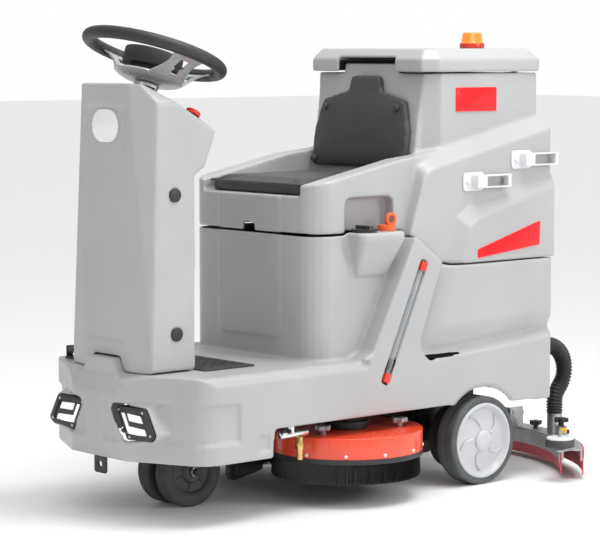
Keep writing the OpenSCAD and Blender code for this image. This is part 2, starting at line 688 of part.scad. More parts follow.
// ---- lid --------------------------------------------------------------------------------
module lid_plan(i = 0) offset(delta = -i) polygon([[-tw - 8, tank_rear + 4], [tw + 8, tank_rear + 4],
  [tw + 8, -105], [tw - 22, -150], [22 - tw, -150], [-tw - 8, -105]]);
module lid() color("lightgray") place() {
  difference() {
    hull() {
      tall(lid_z, lid_z + lid_h - 30) lid_plan();
      tall(lid_z + lid_h - 1, lid_z + lid_h) lid_plan(26);
    }
    tall(lid_z - 1, lid_z + lid_h - 34) lid_plan(12);
    tall(lid_z - 1, lid_z + lid_h - wall) lid_plan(44);
    along_y(-200, wall_y(lid_z) + 12 + 20) soft(4) rect(-120, lid_z - 30, 120, lid_z + 40);
    box([-145, tank_rear - 10, lid_z - 1], [145, tank_rear + 20, lid_pivot_z + 12]);
  }
  for (x = [-166, 146]) {
    box([x, tank_rear - 8, lid_z], [x + 20, lid_pivot_y + 6, lid_z + 8]);
    box([x, lid_pivot_y - 6, lid_pivot_z - 6], [x + 20, lid_pivot_y + 6, lid_z + 8]);
  }
  for (x = [-150, 121]) bar_x(x, x + 29, lid_pivot_y, lid_pivot_z, pin_r);
}
beacon_x = 50;
beacon_y = tank_rear - 66;
module beacon_base() color("firebrick") place()
  translate([beacon_x, beacon_y, lid_z + lid_h]) cylinder(r = 36, h = 15);
module beacon_lens() color("orange") place() translate([beacon_x, beacon_y, lid_z + lid_h + 15])
  cylinder(r1 = 33, r2 = 28, h = 32);
// ---- brush deck -------------------------------------------------------------------------
module deck_outline(grow = 0) {
  both() translate([brush_x, deck_y]) circle(brush_d / 2 + grow);
  square_half = 108 + grow;
  translate([0, deck_y]) square([2 * brush_x - 120, 2 * square_half], center = true);
}
spindle_r = 8;
module deck_cover() color("orangered") place() {
  difference() {
    union() {
      tall(shroud_z - shroud_h, shroud_z) difference() {
        deck_outline(6);
        deck_outline(2);
      }
      tall(shroud_z - 4, shroud_z) deck_outline(3);
    }
    both() translate([brush_x, deck_y, 0]) cylinder(r = spindle_r + fit, h = 400);
  }
  both() translate([guide_x, deck_y, shroud_z - 1]) cylinder(r = bush_r, h = rail_top - 6 - shroud_z);
}
module star_knob(r) {
  cylinder(r = r / 2, h = 13);
  tall(12, 24) {
    circle(r);
    for (b = [0:72:359]) rotate(b) translate([r, 0]) circle(r * 0.36);
  }
}
module deck_knobs() color("silver") place() both() for (a = [-67, 53, 173])
  translate([brush_x, deck_y, shroud_z + gap]) rotate(a) translate([brush_d / 2 - 58, 0, 0]) {
    star_knob(17);
  }
module brush_motors() color("#3a3a3c") place() both() translate([brush_x, deck_y, shroud_z + gap]) {
  difference() {
    cylinder(r = 62, h = 22);
    translate([0, 0, -1]) cylinder(r = spindle_r + fit, h = 18);
  }
  translate([0, 0, 20]) cylinder(r = motor_r, h = 104);
}
module brush() translate([brush_x, deck_y, deck_lift]) {
  difference() {
    cylinder(r1 = brush_d / 2, r2 = brush_d / 2 - 6, h = bristle_h);
    translate([0, 0, -1]) cylinder(r = 105, h = bristle_h + 1);
  }
  translate([0, 0, bristle_h - 1]) cylinder(r = brush_d / 2 - 6, h = 10);
  translate([0, 0, bristle_h - 6]) cylinder(r = spindle_r, h = shroud_z - deck_lift - bristle_h + 20);
  translate([0, 0, bristle_h - 6]) cylinder(r = 40, h = 14);
}
module brush_left() color("#1d1d1d") place() brush();
module brush_right() color("#1d1d1d") place() mirror([1, 0, 0]) brush();
// ---- squeegee ---------------------------------------------------------------------------
module arc(r1, r2, a, b, half = squeegee_a) translate([0, squeegee_y, a])
  rotate(90 - half) rotate_extrude(angle = 2 * half, $fn = 128) rect(r1, 0, r2, b - a);
end_y = arm_y + arm_len;
end_z = arm_z - arm_drop;
arm_a = atan2(arm_drop, arm_len);
module squeegee_arm() color("#8d9093") place() {
  both() difference() {
    translate([0, arm_y, arm_z]) rotate([-arm_a, 0, 0])
      box([46, -12, -12], [60 - gap, norm([arm_len, arm_drop]) + 12, 12]);
  }
  bar_x(-68, 68, arm_y, arm_z, pin_r);
  bar_x(-72, 72, end_y, end_z, pin_r);
  translate([0, arm_y + 60, arm_z - 60 * tan(arm_a)]) box([-50, -10, -8], [50, 10, 8]);
}
inlet_x = 230;
inlet_y = squeegee_y + sqrt(squeegee_r * squeegee_r - inlet_x * inlet_x);
inlet_top = knob_z + 62;
tip_x = squeegee_r * sin(squeegee_a);
tip_y = squeegee_y + squeegee_r * cos(squeegee_a);
roller_x = tip_x - 6;
roller_y = tip_y - 44;
roller_z = knob_z + 10;
// The channel is an upside-down U swept along the arc
module channel() translate([0, squeegee_y, channel_z]) rotate(90 - squeegee_a)
  rotate_extrude(angle = 2 * squeegee_a, $fn = 128) translate([squeegee_r, 0])
    polygon([[-channel_w / 2, 0], [-channel_w / 2, channel_h], [channel_w / 2, channel_h],
      [channel_w / 2, 0], [channel_w / 2 - 5, 0], [channel_w / 2 - 5, channel_h - 5],
      [5 - channel_w / 2, channel_h - 5], [5 - channel_w / 2, 0]]);
module squeegee_body() color("#9a9da0") place() {
  difference() {
    union() {
      channel();
      both() box([62, end_y - 14, knob_z - 3], [70, inlet_y + 34, end_z + 14]);
      translate([inlet_x, inlet_y, knob_z - 3]) cylinder(r = 22, h = inlet_top - knob_z + 3);
      both() {
        box([roller_x - 14, roller_y, knob_z - 3], [roller_x + 10, tip_y, knob_z + 4]);
        translate([roller_x, roller_y, knob_z - 3]) cylinder(r = 14, h = 7);
        translate([roller_x, roller_y, knob_z]) cylinder(r = 6, h = 58);
      }
    }
    bar_x(-90, 90, end_y, end_z, pin_r + fit);
    translate([inlet_x, inlet_y, channel_z - 1]) cylinder(r = 18, h = 200);
  }
  // Clamp strip outside the rear blade, and the star knobs
  arc(squeegee_r + channel_w / 2 + 4 + 2 * gap, squeegee_r + channel_w / 2 + 6, channel_z + 8,
    knob_z - 4);
  both() for (a = [12, 30]) translate([0, squeegee_y, 0]) rotate(-a)
    translate([0, squeegee_r, knob_z - 1]) star_knob(14);
}
module squeegee_blades() color("#d4485a") place() {
  arc(squeegee_r - channel_w / 2 - 4, squeegee_r - channel_w / 2 - gap, blade_lift, knob_z - 4);
  arc(squeegee_r + channel_w / 2 + gap, squeegee_r + channel_w / 2 + 4, blade_lift, knob_z - 4);
}
module roller() translate([roller_x, roller_y, roller_z]) difference() {
  cylinder(r = roller_r, h = 30);
  translate([0, 0, -1]) cylinder(r = 6 + fit, h = 40);
}
module left_roller() color("#6d6f72") place() roller();
module right_roller() color("#6d6f72") place() mirror([1, 0, 0]) roller();
hose_r = 25;
hose_z = 280;
hose_bend = 75;
hose_back = 60;
hose_y = inlet_y - (hose_bend + hose_back) * cos(45) + hose_back;
// One bend about (y, z) in the plane of the hose, from angle a through sweep degrees
module bend(y, z, radius, a, sweep, r) translate([inlet_x, y, z]) rotate([90, 0, 90]) rotate(a)
  rotate_extrude(angle = sweep) translate([radius, 0]) circle(r, $fn = 32);
bend_y = hose_y + (hose_bend + hose_back) * cos(45);
bend_z = hose_z - (hose_bend + hose_back) * sin(45);
module hose_solid(r, over) {
  bar_y(tank_rear + gap - over, hose_y + 1, inlet_x, hose_z + hose_bend, r);
  bend(hose_y, hose_z, hose_bend, -46, 136, r - 0.4);
  bend(bend_y, bend_z, hose_back, 135, 46, r);
  translate([inlet_x, inlet_y, inlet_top + gap - over])
    cylinder(r = r - 0.4, h = bend_z - inlet_top - gap + over);
}
module suction_hose() color("#222222") place() difference() {
  hose_solid(hose_r, 0);
  hose_solid(hose_r - 4, 1);
}
// ---- caps and sight tube ----------------------------------------------------------------
module filler_cap() color("#1e1e1e") place() translate([cap_x, filler_y, ledge_top]) {
  translate([0, 0, -14]) cylinder(r = filler_r, h = 16);
  translate([0, 0, gap]) cylinder(r = 36, h = 9);
  box([-30, -5, 8], [30, 5, 18]);
}
module drain_cap() color("#f0643c") place() translate([cap_x, drain_y, ledge_top]) {
  translate([0, 0, -14]) cylinder(r = drain_r, h = 16);
  translate([0, 0, gap]) cylinder(r = 25, h = 16);
  translate([0, 16, 15]) rotate([90, 0, 90]) translate([0, 16, -4]) linear_extrude(8) difference() {
    circle(18);
    circle(11);
  }
}
module on_sight() translate([hw, -302, 484]) rotate([-24.6, 0, 0]) children();
module sight_tube() color("lightgray") place() on_sight()
  translate([-5, 0, -150]) cylinder(r = 6, h = 300);
module sight_fittings() color("red") place() on_sight() for (s = [-1, 1])
  translate([-5, 0, s * 163]) box([gap - 11, -10, gap - 13], [8, 10, 13 - gap]);

lower_body();
chassis_rails();
chassis_crossmembers();
transaxle();
batteries();
column_body();
column_plugs();
badge();
dash_panel();
headlight_bezels();
headlight_lenses();
tow_plate();
floor_mat();
pedal_bracket();
water_pipe();
water_valve();
skid_block();
sight_tube();
sight_fittings();
suction_hose();
hinge_base();
steering_bearing();
steering_chain();
steering_rim();
steering_spokes();
steering_shaft();
lower_shaft();
fork();
front_left_tyre();
front_left_hub();
front_right_tyre();
front_right_hub();
rear_left_tyre();
rear_left_rim();
rear_right_tyre();
rear_right_rim();
upper_tank();
seat_cushion();
back_pad();
reflectors();
side_clips();
lid();
beacon_base();
beacon_lens();
pedal();
emergency_stop();
key_switch();
speed_dial();
deck_cover();
deck_knobs();
brush_motors();
brush_left();
brush_right();
squeegee_arm();
squeegee_body();
squeegee_blades();
left_roller();
right_roller();
filler_cap();
drain_cap();
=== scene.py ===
import json
import math
import random

import bmesh
import bpy
from mathutils import Matrix, Vector

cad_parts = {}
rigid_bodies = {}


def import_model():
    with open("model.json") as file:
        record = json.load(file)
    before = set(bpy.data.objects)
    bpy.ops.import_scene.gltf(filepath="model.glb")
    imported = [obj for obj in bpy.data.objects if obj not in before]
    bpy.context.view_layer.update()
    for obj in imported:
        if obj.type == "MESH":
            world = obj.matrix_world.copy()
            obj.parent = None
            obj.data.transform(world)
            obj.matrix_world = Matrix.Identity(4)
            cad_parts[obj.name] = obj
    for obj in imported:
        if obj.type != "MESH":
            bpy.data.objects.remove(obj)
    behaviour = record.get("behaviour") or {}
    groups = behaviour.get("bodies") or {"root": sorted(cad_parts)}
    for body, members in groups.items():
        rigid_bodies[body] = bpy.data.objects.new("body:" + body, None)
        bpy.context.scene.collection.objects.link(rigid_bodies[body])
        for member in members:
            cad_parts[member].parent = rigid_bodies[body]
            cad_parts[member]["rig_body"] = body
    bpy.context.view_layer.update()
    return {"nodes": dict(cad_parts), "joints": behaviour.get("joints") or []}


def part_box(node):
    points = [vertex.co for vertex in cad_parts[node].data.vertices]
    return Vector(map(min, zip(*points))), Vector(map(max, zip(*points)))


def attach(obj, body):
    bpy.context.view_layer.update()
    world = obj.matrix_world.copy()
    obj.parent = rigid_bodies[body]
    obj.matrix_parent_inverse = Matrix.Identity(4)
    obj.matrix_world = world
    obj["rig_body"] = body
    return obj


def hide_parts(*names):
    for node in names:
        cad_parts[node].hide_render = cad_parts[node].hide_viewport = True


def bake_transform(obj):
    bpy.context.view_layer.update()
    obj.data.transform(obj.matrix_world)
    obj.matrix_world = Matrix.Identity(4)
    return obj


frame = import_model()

bl_info = {
    "name": "Ride-on scrubber pieces",
    "version": (1, 0, 0),
    "blender": (4, 5, 0),
    "location": "View3D > Sidebar > Scrubber",
    "description": "Models the finished pieces of a ride-on floor scrubber round its CAD frame",
    "category": "Object",
}

NODES = frame["nodes"]
JOINTS = {j["name"]: j for j in frame["joints"]}
# Radius of the squeegee's outer edge, and the depth from there to its front strip
ARC_OUTER = 0.623
ARC_DEPTH = 0.066
# Vertices nearer than this are one, in a CAD mesh and where a turned outline meets itself
CAD_WELD = 2e-5
SEAM_WELD = 1e-6


# ---- settings that a user would change ---------------------------------------------------------
def colour(name, default, description):
    return bpy.props.FloatVectorProperty(name=name, description=description, subtype="COLOR", size=3,
                                         min=0.0, max=1.0, default=default)


def length(name, default, description):
    return bpy.props.FloatProperty(name=name, description=description, default=default, min=0.0,
                                   unit="LENGTH")


class ScrubberSizes(bpy.types.PropertyGroup):
    moulding_voxel: length("Moulding voxel", 0.0045, "Voxel that the grey mouldings are rounded with")
    pad_voxel: length("Pad voxel", 0.006, "Voxel that the seat and back pad are remeshed with")
    pad_rise: length("Pad rise", 0.012, "How far the pads may swell")
    piping: length("Piping", 0.0032, "Radius of the rolled edge of the seat")
    hose_rib: length("Hose rib pitch", 0.0085, "Distance between the ribs of the suction hose")
    tuft: length("Tuft", 0.0013, "Radius of a bristle tuft")
    tufts: bpy.props.IntProperty(name="Tufts", description="Tufts in one wedge of a brush", default=60, min=1)


class ScrubberColours(bpy.types.PropertyGroup):
    moulding: colour("Moulding", (0.42, 0.425, 0.43), "Grey of the rotomoulded bodies")
    vinyl: colour("Vinyl", (0.045, 0.046, 0.05), "Seat and back pad")
    deck: colour("Deck", (0.86, 0.075, 0.028), "Brush deck enamel")
    reflector: colour("Reflector", (0.9, 0.002, 0.006), "Side reflectors")
    cap: colour("Cap", (0.86, 0.13, 0.035), "Orange cap")
    blade: colour("Blade", (0.62, 0.09, 0.12), "Squeegee blades")


# ---- finishes ----------------------------------------------------------------------------------
def finish(name, base, rough=0.5, metal=0.0, mottle=0.06, mottle_scale=9.0, grain=0.0, grain_scale=900.0,
           rough_spread=0.08, coat=0.0, soft_edge=0.0, streak=None, clear=0.0, glow=0.0, sheen=0.0, ior=1.5):
    """A finish with uneven colour and gloss, and a fine raised grain, all on Object coordinates."""
    m = bpy.data.materials.new(name)
    m.use_nodes = True
    t = m.node_tree
    t.nodes.clear()
    out = t.nodes.new("ShaderNodeOutputMaterial")
    s = t.nodes.new("ShaderNodeBsdfPrincipled")
    t.links.new(s.outputs[0], out.inputs[0])
    s.inputs["Metallic"].default_value = metal
    s.inputs["Coat Weight"].default_value = coat
    s.inputs["Coat Roughness"].default_value = 0.12
    s.inputs["IOR"].default_value = ior
    s.inputs["Transmission Weight"].default_value = clear
    s.inputs["Sheen Weight"].default_value = sheen
    place = t.nodes.new("ShaderNodeTexCoord")
    spread = t.nodes.new("ShaderNodeMapping")
    t.links.new(place.outputs["Object"], spread.inputs[0])
    if streak:
        spread.inputs["Scale"].default_value = streak

    def noise(scale, detail, rough_fac=0.55):
        n = t.nodes.new("ShaderNodeTexNoise")
        n.inputs["Scale"].default_value = scale
        n.inputs["Detail"].default_value = detail
        n.inputs["Roughness"].default_value = rough_fac
        t.links.new(spread.outputs[0], n.inputs["Vector"])
        return n

    def ramp(source, low, high, a=0.3, b=0.7):
        r = t.nodes.new("ShaderNodeMapRange")
        r.inputs["From Min"].default_value = a
        r.inputs["From Max"].default_value = b
        r.inputs["To Min"].default_value = low
        r.inputs["To Max"].default_value = high
        t.links.new(source, r.inputs["Value"])
        return r.outputs[0]

    broad = noise(mottle_scale, 4.0)
    mix = t.nodes.new("ShaderNodeMix")
    mix.data_type = "RGBA"
    dark = [c * (1.0 - mottle) for c in base]
    light = [min(1.0, c * (1.0 + mottle)) for c in base]
    mix.inputs[6].default_value = (*dark, 1.0)
    mix.inputs[7].default_value = (*light, 1.0)
    t.links.new(ramp(broad.outputs["Fac"], 0.0, 1.0), mix.inputs[0])
    t.links.new(mix.outputs[2], s.inputs["Base Color"])
    fine = noise(grain_scale, 3.0, 0.6)
    scuff = noise(mottle_scale * 6.0, 5.0, 0.65)
    t.links.new(ramp(scuff.outputs["Fac"], max(0.02, rough - rough_spread), min(1.0, rough + rough_spread)),
                s.inputs["Roughness"])
    # Emission in the finish's own colour. On the headlight strips and the beacon lens it stands for the lamps'
    # own light; on the side reflectors it is painted light, as a reflector is no lamp.
    if glow:
        s.inputs["Emission Color"].default_value = (*base, 1.0)
        s.inputs["Emission Strength"].default_value = glow
    normal = None
    if soft_edge:
        rounding = t.nodes.new("ShaderNodeBevel")
        rounding.samples = 4
        rounding.inputs["Radius"].default_value = soft_edge
        normal = rounding.outputs[0]
    if grain:
        bump = t.nodes.new("ShaderNodeBump")
        bump.inputs["Strength"].default_value = grain
        bump.inputs["Distance"].default_value = 0.0006
        t.links.new(fine.outputs["Fac"], bump.inputs["Height"])
        if normal:
            t.links.new(normal, bump.inputs["Normal"])
        normal = bump.outputs[0]
    if normal:
        t.links.new(normal, s.inputs["Normal"])
    return m


def vinyl_grain(m, scale=420.0):
    """Adds the cell pattern of embossed vinyl to a finish."""
    t = m.node_tree
    cells = t.nodes.new("ShaderNodeTexVoronoi")
    cells.inputs["Scale"].default_value = scale
    cells.feature = "DISTANCE_TO_EDGE"
    mapping = [n for n in t.nodes if n.type == "MAPPING"][0]
    t.links.new(mapping.outputs[0], cells.inputs["Vector"])
    bump = t.nodes.new("ShaderNodeBump")
    bump.inputs["Strength"].default_value = 0.35
    bump.inputs["Distance"].default_value = 0.0008
    t.links.new(cells.outputs["Distance"], bump.inputs["Height"])
    shader = [n for n in t.nodes if n.type == "BSDF_PRINCIPLED"][0]
    if shader.inputs["Normal"].links:
        t.links.new(shader.inputs["Normal"].links[0].from_socket, bump.inputs["Normal"])
    t.links.new(bump.outputs[0], shader.inputs["Normal"])
    return m


FINISHES = {}


def make_finishes(c):
    f = FINISHES
    f["moulding"] = finish("satin_grey_moulding", c.moulding, 0.36, mottle=0.05, mottle_scale=3.5, grain=0.3,
                           grain_scale=700.0, rough_spread=0.07)
    f["vinyl"] = vinyl_grain(finish("black_vinyl", c.vinyl, 0.52, mottle=0.14, mottle_scale=7.0, grain=0.12,
                                    sheen=0.05))
    f["black"] = finish("black_plastic", (0.022, 0.022, 0.024), 0.42, mottle=0.2, grain=0.3, grain_scale=700.0)
    f["gloss_black"] = finish("gloss_black", (0.014, 0.014, 0.016), 0.2, mottle=0.2, coat=0.3)
    f["charcoal"] = finish("charcoal_plastic", (0.05, 0.051, 0.054), 0.5, mottle=0.15, grain=0.3,
                           grain_scale=800.0)
    f["grip"] = finish("grip_rubber", (0.026, 0.026, 0.028), 0.55, mottle=0.18, grain=0.4,
                       grain_scale=1100.0)
    f["frame"] = finish("black_powder_coat", (0.03, 0.03, 0.032), 0.5, mottle=0.2, grain=0.5,
                        grain_scale=600.0)
    f["drive"] = finish("drive_casting", (0.05, 0.052, 0.056), 0.42, metal=0.6, mottle=0.25, grain=0.5,
                        grain_scale=350.0)
    f["battery"] = finish("battery_case", (0.03, 0.032, 0.036), 0.5, mottle=0.15, grain=0.3)
    f["steel"] = finish("turned_steel", (0.56, 0.57, 0.58), 0.28, metal=1.0, mottle=0.08, mottle_scale=30.0,
                        rough_spread=0.12)
    f["chrome"] = finish("chrome", (0.8, 0.8, 0.81), 0.1, metal=1.0, mottle=0.05, rough_spread=0.05)
    f["brass"] = finish("brass", (0.72, 0.5, 0.2), 0.25, metal=1.0, mottle=0.12, mottle_scale=40.0)
    f["red"] = finish("red_plastic", (0.72, 0.03, 0.02), 0.35, mottle=0.12, coat=0.2)
    f["deck"] = finish("deck_enamel", c.deck, 0.3, mottle=0.08, mottle_scale=12.0, grain=0.08,
                       grain_scale=240.0, coat=0.5)
    # The reflectors glow at 0.35: painted light, since a reflector only throws back the studio light and gives
    # none of its own.
    f["reflector"] = finish("reflector", c.reflector, 0.16, mottle=0.08, mottle_scale=160.0, grain=0.5,
                            grain_scale=420.0, glow=0.35)
    f["white"] = finish("white_plastic", (0.74, 0.74, 0.75), 0.38, mottle=0.03, grain=0.1)
    f["badge"] = finish("badge_enamel", (0.86, 0.86, 0.87), 0.25, mottle=0.02, coat=0.5)
    f["light"] = finish("light_diffuser", (0.9, 0.91, 0.93), 0.3, mottle=0.02, glow=0.25)
    f["clip"] = finish("pale_clip", (0.7, 0.71, 0.72), 0.32, mottle=0.04, coat=0.15)
    f["tyre"] = finish("grey_tyre", (0.085, 0.093, 0.095), 0.72, mottle=0.16, mottle_scale=26.0, grain=0.6,
                       grain_scale=380.0)
    f["tyre_front"] = finish("dark_tyre", (0.055, 0.056, 0.058), 0.68, mottle=0.16, mottle_scale=26.0,
                             grain=0.6, grain_scale=380.0)
    f["rim"] = finish("white_rim", (0.54, 0.545, 0.56), 0.33, mottle=0.035, mottle_scale=20.0,
                      grain=0.08)
    f["bristle"] = finish("bristles", (0.012, 0.012, 0.013), 0.5, mottle=0.5, mottle_scale=220.0,
                          streak=(1.0, 1.0, 0.06))
    f["aluminium"] = finish("cast_aluminium", (0.42, 0.43, 0.44), 0.36, metal=0.75, mottle=0.1,
                            mottle_scale=18.0, grain=0.2, grain_scale=500.0)
    f["blade"] = finish("blade_rubber", c.blade, 0.5, mottle=0.1, mottle_scale=22.0, grain=0.2)
    f["cap"] = finish("orange_cap", c.cap, 0.34, mottle=0.06, grain=0.08, coat=0.15)
    f["amber"] = finish("amber_lens", (0.95, 0.24, 0.015), 0.14, mottle=0.06, mottle_scale=60.0,
                        coat=0.4, glow=0.3)
    f["beacon_red"] = finish("beacon_base", (0.6, 0.03, 0.02), 0.3, mottle=0.08, coat=0.3)
    f["spoke"] = finish("spoke_silver", (0.46, 0.47, 0.475), 0.3, metal=0.35, mottle=0.06, grain=0.12)
    f["knob"] = finish("silver_knob", (0.4, 0.41, 0.43), 0.4, metal=0.4, mottle=0.1)
    f["clear"] = finish("clear_tube", (0.82, 0.86, 0.88), 0.12, mottle=0.04, clear=0.85, ior=1.4)
    f["hose"] = finish("hose_rubber", (0.018, 0.018, 0.019), 0.48, mottle=0.2, mottle_scale=60.0, grain=0.2)
    f["mat"] = finish("mat_rubber", (0.035, 0.036, 0.038), 0.6, mottle=0.2, mottle_scale=40.0, grain=0.5,
                      grain_scale=500.0)
    f["amber_plastic"] = finish("amber_plastic", (0.8, 0.22, 0.01), 0.4, mottle=0.08)
    f["yellow"] = finish("yellow_tag", (0.85, 0.5, 0.02), 0.4, mottle=0.05)


# ---- mesh helpers ------------------------------------------------------------------------------
def named_piece(name, me, body, nodes=(), finishes=()):
    for f in finishes:
        me.materials.append(FINISHES[f])
    ob = bpy.data.objects.new(name, me)
    bpy.context.scene.collection.objects.link(ob)
    if body:
        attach(ob, body)
    if nodes:
        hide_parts(*nodes)
    return ob


def piece(name, bm, body, nodes=(), finishes=(), crease=35.0, fix_normals=True):
    """Closes a bmesh into a piece: smooth faces, and sharp edges above the crease angle."""
    if fix_normals:
        bmesh.ops.recalc_face_normals(bm, faces=bm.faces)
    limit = math.radians(crease)
    for f in bm.faces:
        f.smooth = True
    for e in bm.edges:
        e.smooth = len(e.link_faces) == 2 and e.calc_face_angle(0.0) < limit
    me = bpy.data.meshes.new(name)
    bm.to_mesh(me)
    bm.free()
    return named_piece(name, me, body, nodes, finishes)


def cad_copy(node, flat=0.4):
    """The mesh of a CAD node, with faces that lie within flat degrees of each other joined."""
    bm = bmesh.new()
    bm.from_mesh(NODES[node].data)
    bmesh.ops.remove_doubles(bm, verts=bm.verts, dist=CAD_WELD)
    bmesh.ops.dissolve_limit(bm, angle_limit=math.radians(flat), verts=bm.verts, edges=bm.edges)
    return bm


def bevelled(bm, offset, segments=2, angle=35.0):
    """Rounds every edge that turns by more than angle degrees."""
    limit = math.radians(angle)
    sharp = [e for e in bm.edges if len(e.link_faces) == 2 and e.calc_face_angle(0.0) > limit]
    bmesh.ops.bevel(bm, geom=sharp, offset=offset, offset_type="OFFSET", segments=segments, profile=0.5,
                    affect="EDGES", clamp_overlap=True, material=-1, loop_slide=True)
    return bm


def softened(node, slot, look, offset=0.0012, segments=2, angle=35.0):
    """A CAD solid with small rounded edges and its own finish."""
    bm = bevelled(cad_copy(node), offset, segments, angle)
    piece(node + "_finished", bm, NODES[node]["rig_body"], [node], [look], fix_normals=False)


def softened_rows(rows):
    """Softens one CAD solid for each row, which holds its node, its slot and what softened takes next."""
    for row in rows:
        softened(*row)


def settled(ob, name):
    """The mesh that an object's modifiers make, with the object itself removed."""
    view = bpy.context.evaluated_depsgraph_get()
    me = bpy.data.meshes.new_from_object(ob.evaluated_get(view))
    me.name = name
    old = ob.data
    bpy.data.objects.remove(ob)
    if isinstance(old, bpy.types.Mesh):
        bpy.data.meshes.remove(old)
    return me


def scratch(name, bm):
    """A working object that holds the bmesh until settled has read it."""
    me = bpy.data.meshes.new(name)
    bm.to_mesh(me)
    bm.free()
    ob = bpy.data.objects.new(name, me)
    bpy.context.scene.collection.objects.link(ob)
    return ob


def remoulded(node, name, voxel, rounds, keep):
    """A CAD moulding with every edge rounded, as a rotomoulded shell has them."""
    bm = bmesh.new()
    bm.from_mesh(NODES[node].data)
    bmesh.ops.remove_doubles(bm, verts=bm.verts, dist=CAD_WELD)
    ob = scratch(name + "_start", bm)
    shell = ob.modifiers.new("shell", "REMESH")
    shell.mode = "VOXEL"
    shell.voxel_size = voxel
    ease = ob.modifiers.new("ease", "SMOOTH")
    ease.factor = 0.5
    ease.iterations = rounds
    thin = ob.modifiers.new("thin", "DECIMATE")
    thin.ratio = keep
    me = settled(ob, name)
    me.polygons.foreach_set("use_smooth", [True] * len(me.polygons))
    return named_piece(name, me, NODES[node]["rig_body"], [node], ["moulding"])


def join(bm, extra):
    """Adds the faces of a second bmesh, and frees it."""
    me = bpy.data.meshes.new("extra")
    extra.to_mesh(me)
    extra.free()
    bm.from_mesh(me)
    bpy.data.meshes.remove(me)


def disc(bm, matrix, radius, depth, sides=32, top=None):
    """A closed disc about local Z, whose far end may have another radius, top."""
    bmesh.ops.create_cone(bm, cap_ends=True, segments=sides, radius1=radius,
                          radius2=radius if top is None else top, depth=depth, matrix=matrix)


def block(bm, low, high):
    """A box between two corners. Gives its vertices."""
    low, high = Vector(low), Vector(high)
    place = Matrix.Translation((low + high) / 2) @ Matrix.Diagonal((*(high - low), 1.0))
    return bmesh.ops.create_cube(bm, size=1.0, matrix=place)["verts"]


def turned(bm, outline, centre, axis, steps=64):
    """Spins an outline of (radius, height) points about an axis through centre."""
    axis = Vector(axis).normalized()
    side = axis.orthogonal().normalized()
    verts = [bm.verts.new(Vector(centre) + side * r + axis * h) for r, h in outline]
    edges = [bm.edges.new(p) for p in zip(verts, verts[1:])]
    bmesh.ops.spin(bm, geom=verts + edges, cent=centre, axis=axis, angle=math.tau, steps=steps, use_merge=True)
    bmesh.ops.remove_doubles(bm, verts=bm.verts, dist=SEAM_WELD)


def outline_solid(bm, points, near, far, corner=0.0, segments=4):
    """Extrudes a flat outline of 3-D points from near to far, with its corners rounded."""
    face = bm.faces.new([bm.verts.new(Vector(p) + Vector(near)) for p in points])
    made = bmesh.ops.extrude_face_region(bm, geom=[face])
    top = [g for g in made["geom"] if isinstance(g, bmesh.types.BMVert)]
    bmesh.ops.translate(bm, verts=top, vec=Vector(far) - Vector(near))
    if corner:
        along = (Vector(far) - Vector(near)).normalized()
        edges = [e for e in bm.edges
                 if abs((e.verts[0].co - e.verts[1].co).normalized().dot(along)) > 0.99
                 and (e.verts[0] in top or e.verts[1] in top)]
        bmesh.ops.bevel(bm, geom=edges, offset=corner, offset_type="OFFSET", segments=segments, profile=0.5,
                        affect="EDGES", clamp_overlap=True, material=-1)


def tube(name, points, radius, closed=False, sides=4, widths=None):
    """A round tube along points, as a mesh."""
    line = bpy.data.curves.new(name, "CURVE")
    line.dimensions = "3D"
    line.bevel_depth = radius
    line.bevel_resolution = sides
    line.use_fill_caps = not closed
    path = line.splines.new("POLY")
    path.points.add(len(points) - 1)
    for i, p in enumerate(points):
        path.points[i].co = (*p, 1.0)
        path.points[i].radius = widths[i] if widths else 1.0
    path.use_cyclic_u = closed
    ob = bpy.data.objects.new(name + "_line", line)
    bpy.context.scene.collection.objects.link(ob)
    me = settled(ob, name)
    me.polygons.foreach_set("use_smooth", [True] * len(me.polygons))
    return me


def swollen(ob, name, rise, hold, frames=20):
    """Swells a closed pad by cloth simulation, and keeps each point within rise of its start."""
    me = ob.data
    start = [v.co.copy() for v in me.vertices]
    group = ob.vertex_groups.new(name="held")
    group.add([v.index for v in me.vertices if hold(v)], 1.0, "REPLACE")
    cloth = ob.modifiers.new("cloth", "CLOTH")
    cloth.settings.quality = 5
    cloth.settings.mass = 0.35
    cloth.settings.tension_stiffness = 40.0
    cloth.settings.compression_stiffness = 40.0
    cloth.settings.bending_stiffness = 25.0
    cloth.settings.use_pressure = True
    cloth.settings.uniform_pressure_force = 4.0
    cloth.settings.vertex_group_mass = "held"
    cloth.settings.effector_weights.gravity = 0.0
    cloth.collision_settings.use_collision = False
    scene = bpy.context.scene
    for f in range(1, frames + 1):
        scene.frame_set(f)
    swelled = settled(ob, name)
    for v, s in zip(swelled.vertices, start):
        move = v.co - s
        if move.length > rise:
            v.co = s + move * (rise / move.length)
    scene.frame_set(1)
    return swelled


def refined(me, name, times=1, ease=2):
    """The mesh eased and subdivided."""
    ob = bpy.data.objects.new(name + "_start", me)
    bpy.context.scene.collection.objects.link(ob)
    smooth = ob.modifiers.new("ease", "SMOOTH")
    smooth.iterations = ease
    more = ob.modifiers.new("more", "SUBSURF")
    more.levels = more.render_levels = times
    made = settled(ob, name)
    made.polygons.foreach_set("use_smooth", [True] * len(made.polygons))
    return made


def middle(node):
    """The centre and the two corners of a CAD node's box."""
    low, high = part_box(node)
    return (low + high) / 2, low, high


def mirrored(bm):
    """Adds the mirror image in X of everything in the bmesh."""
    made = bmesh.ops.duplicate(bm, geom=bm.verts[:] + bm.edges[:] + bm.faces[:])
    copies = [g for g in made["geom"] if isinstance(g, bmesh.types.BMVert)]
    bmesh.ops.scale(bm, verts=copies, vec=(-1.0, 1.0, 1.0))
    bmesh.ops.reverse_faces(bm, faces=[g for g in made["geom"] if isinstance(g, bmesh.types.BMFace)])


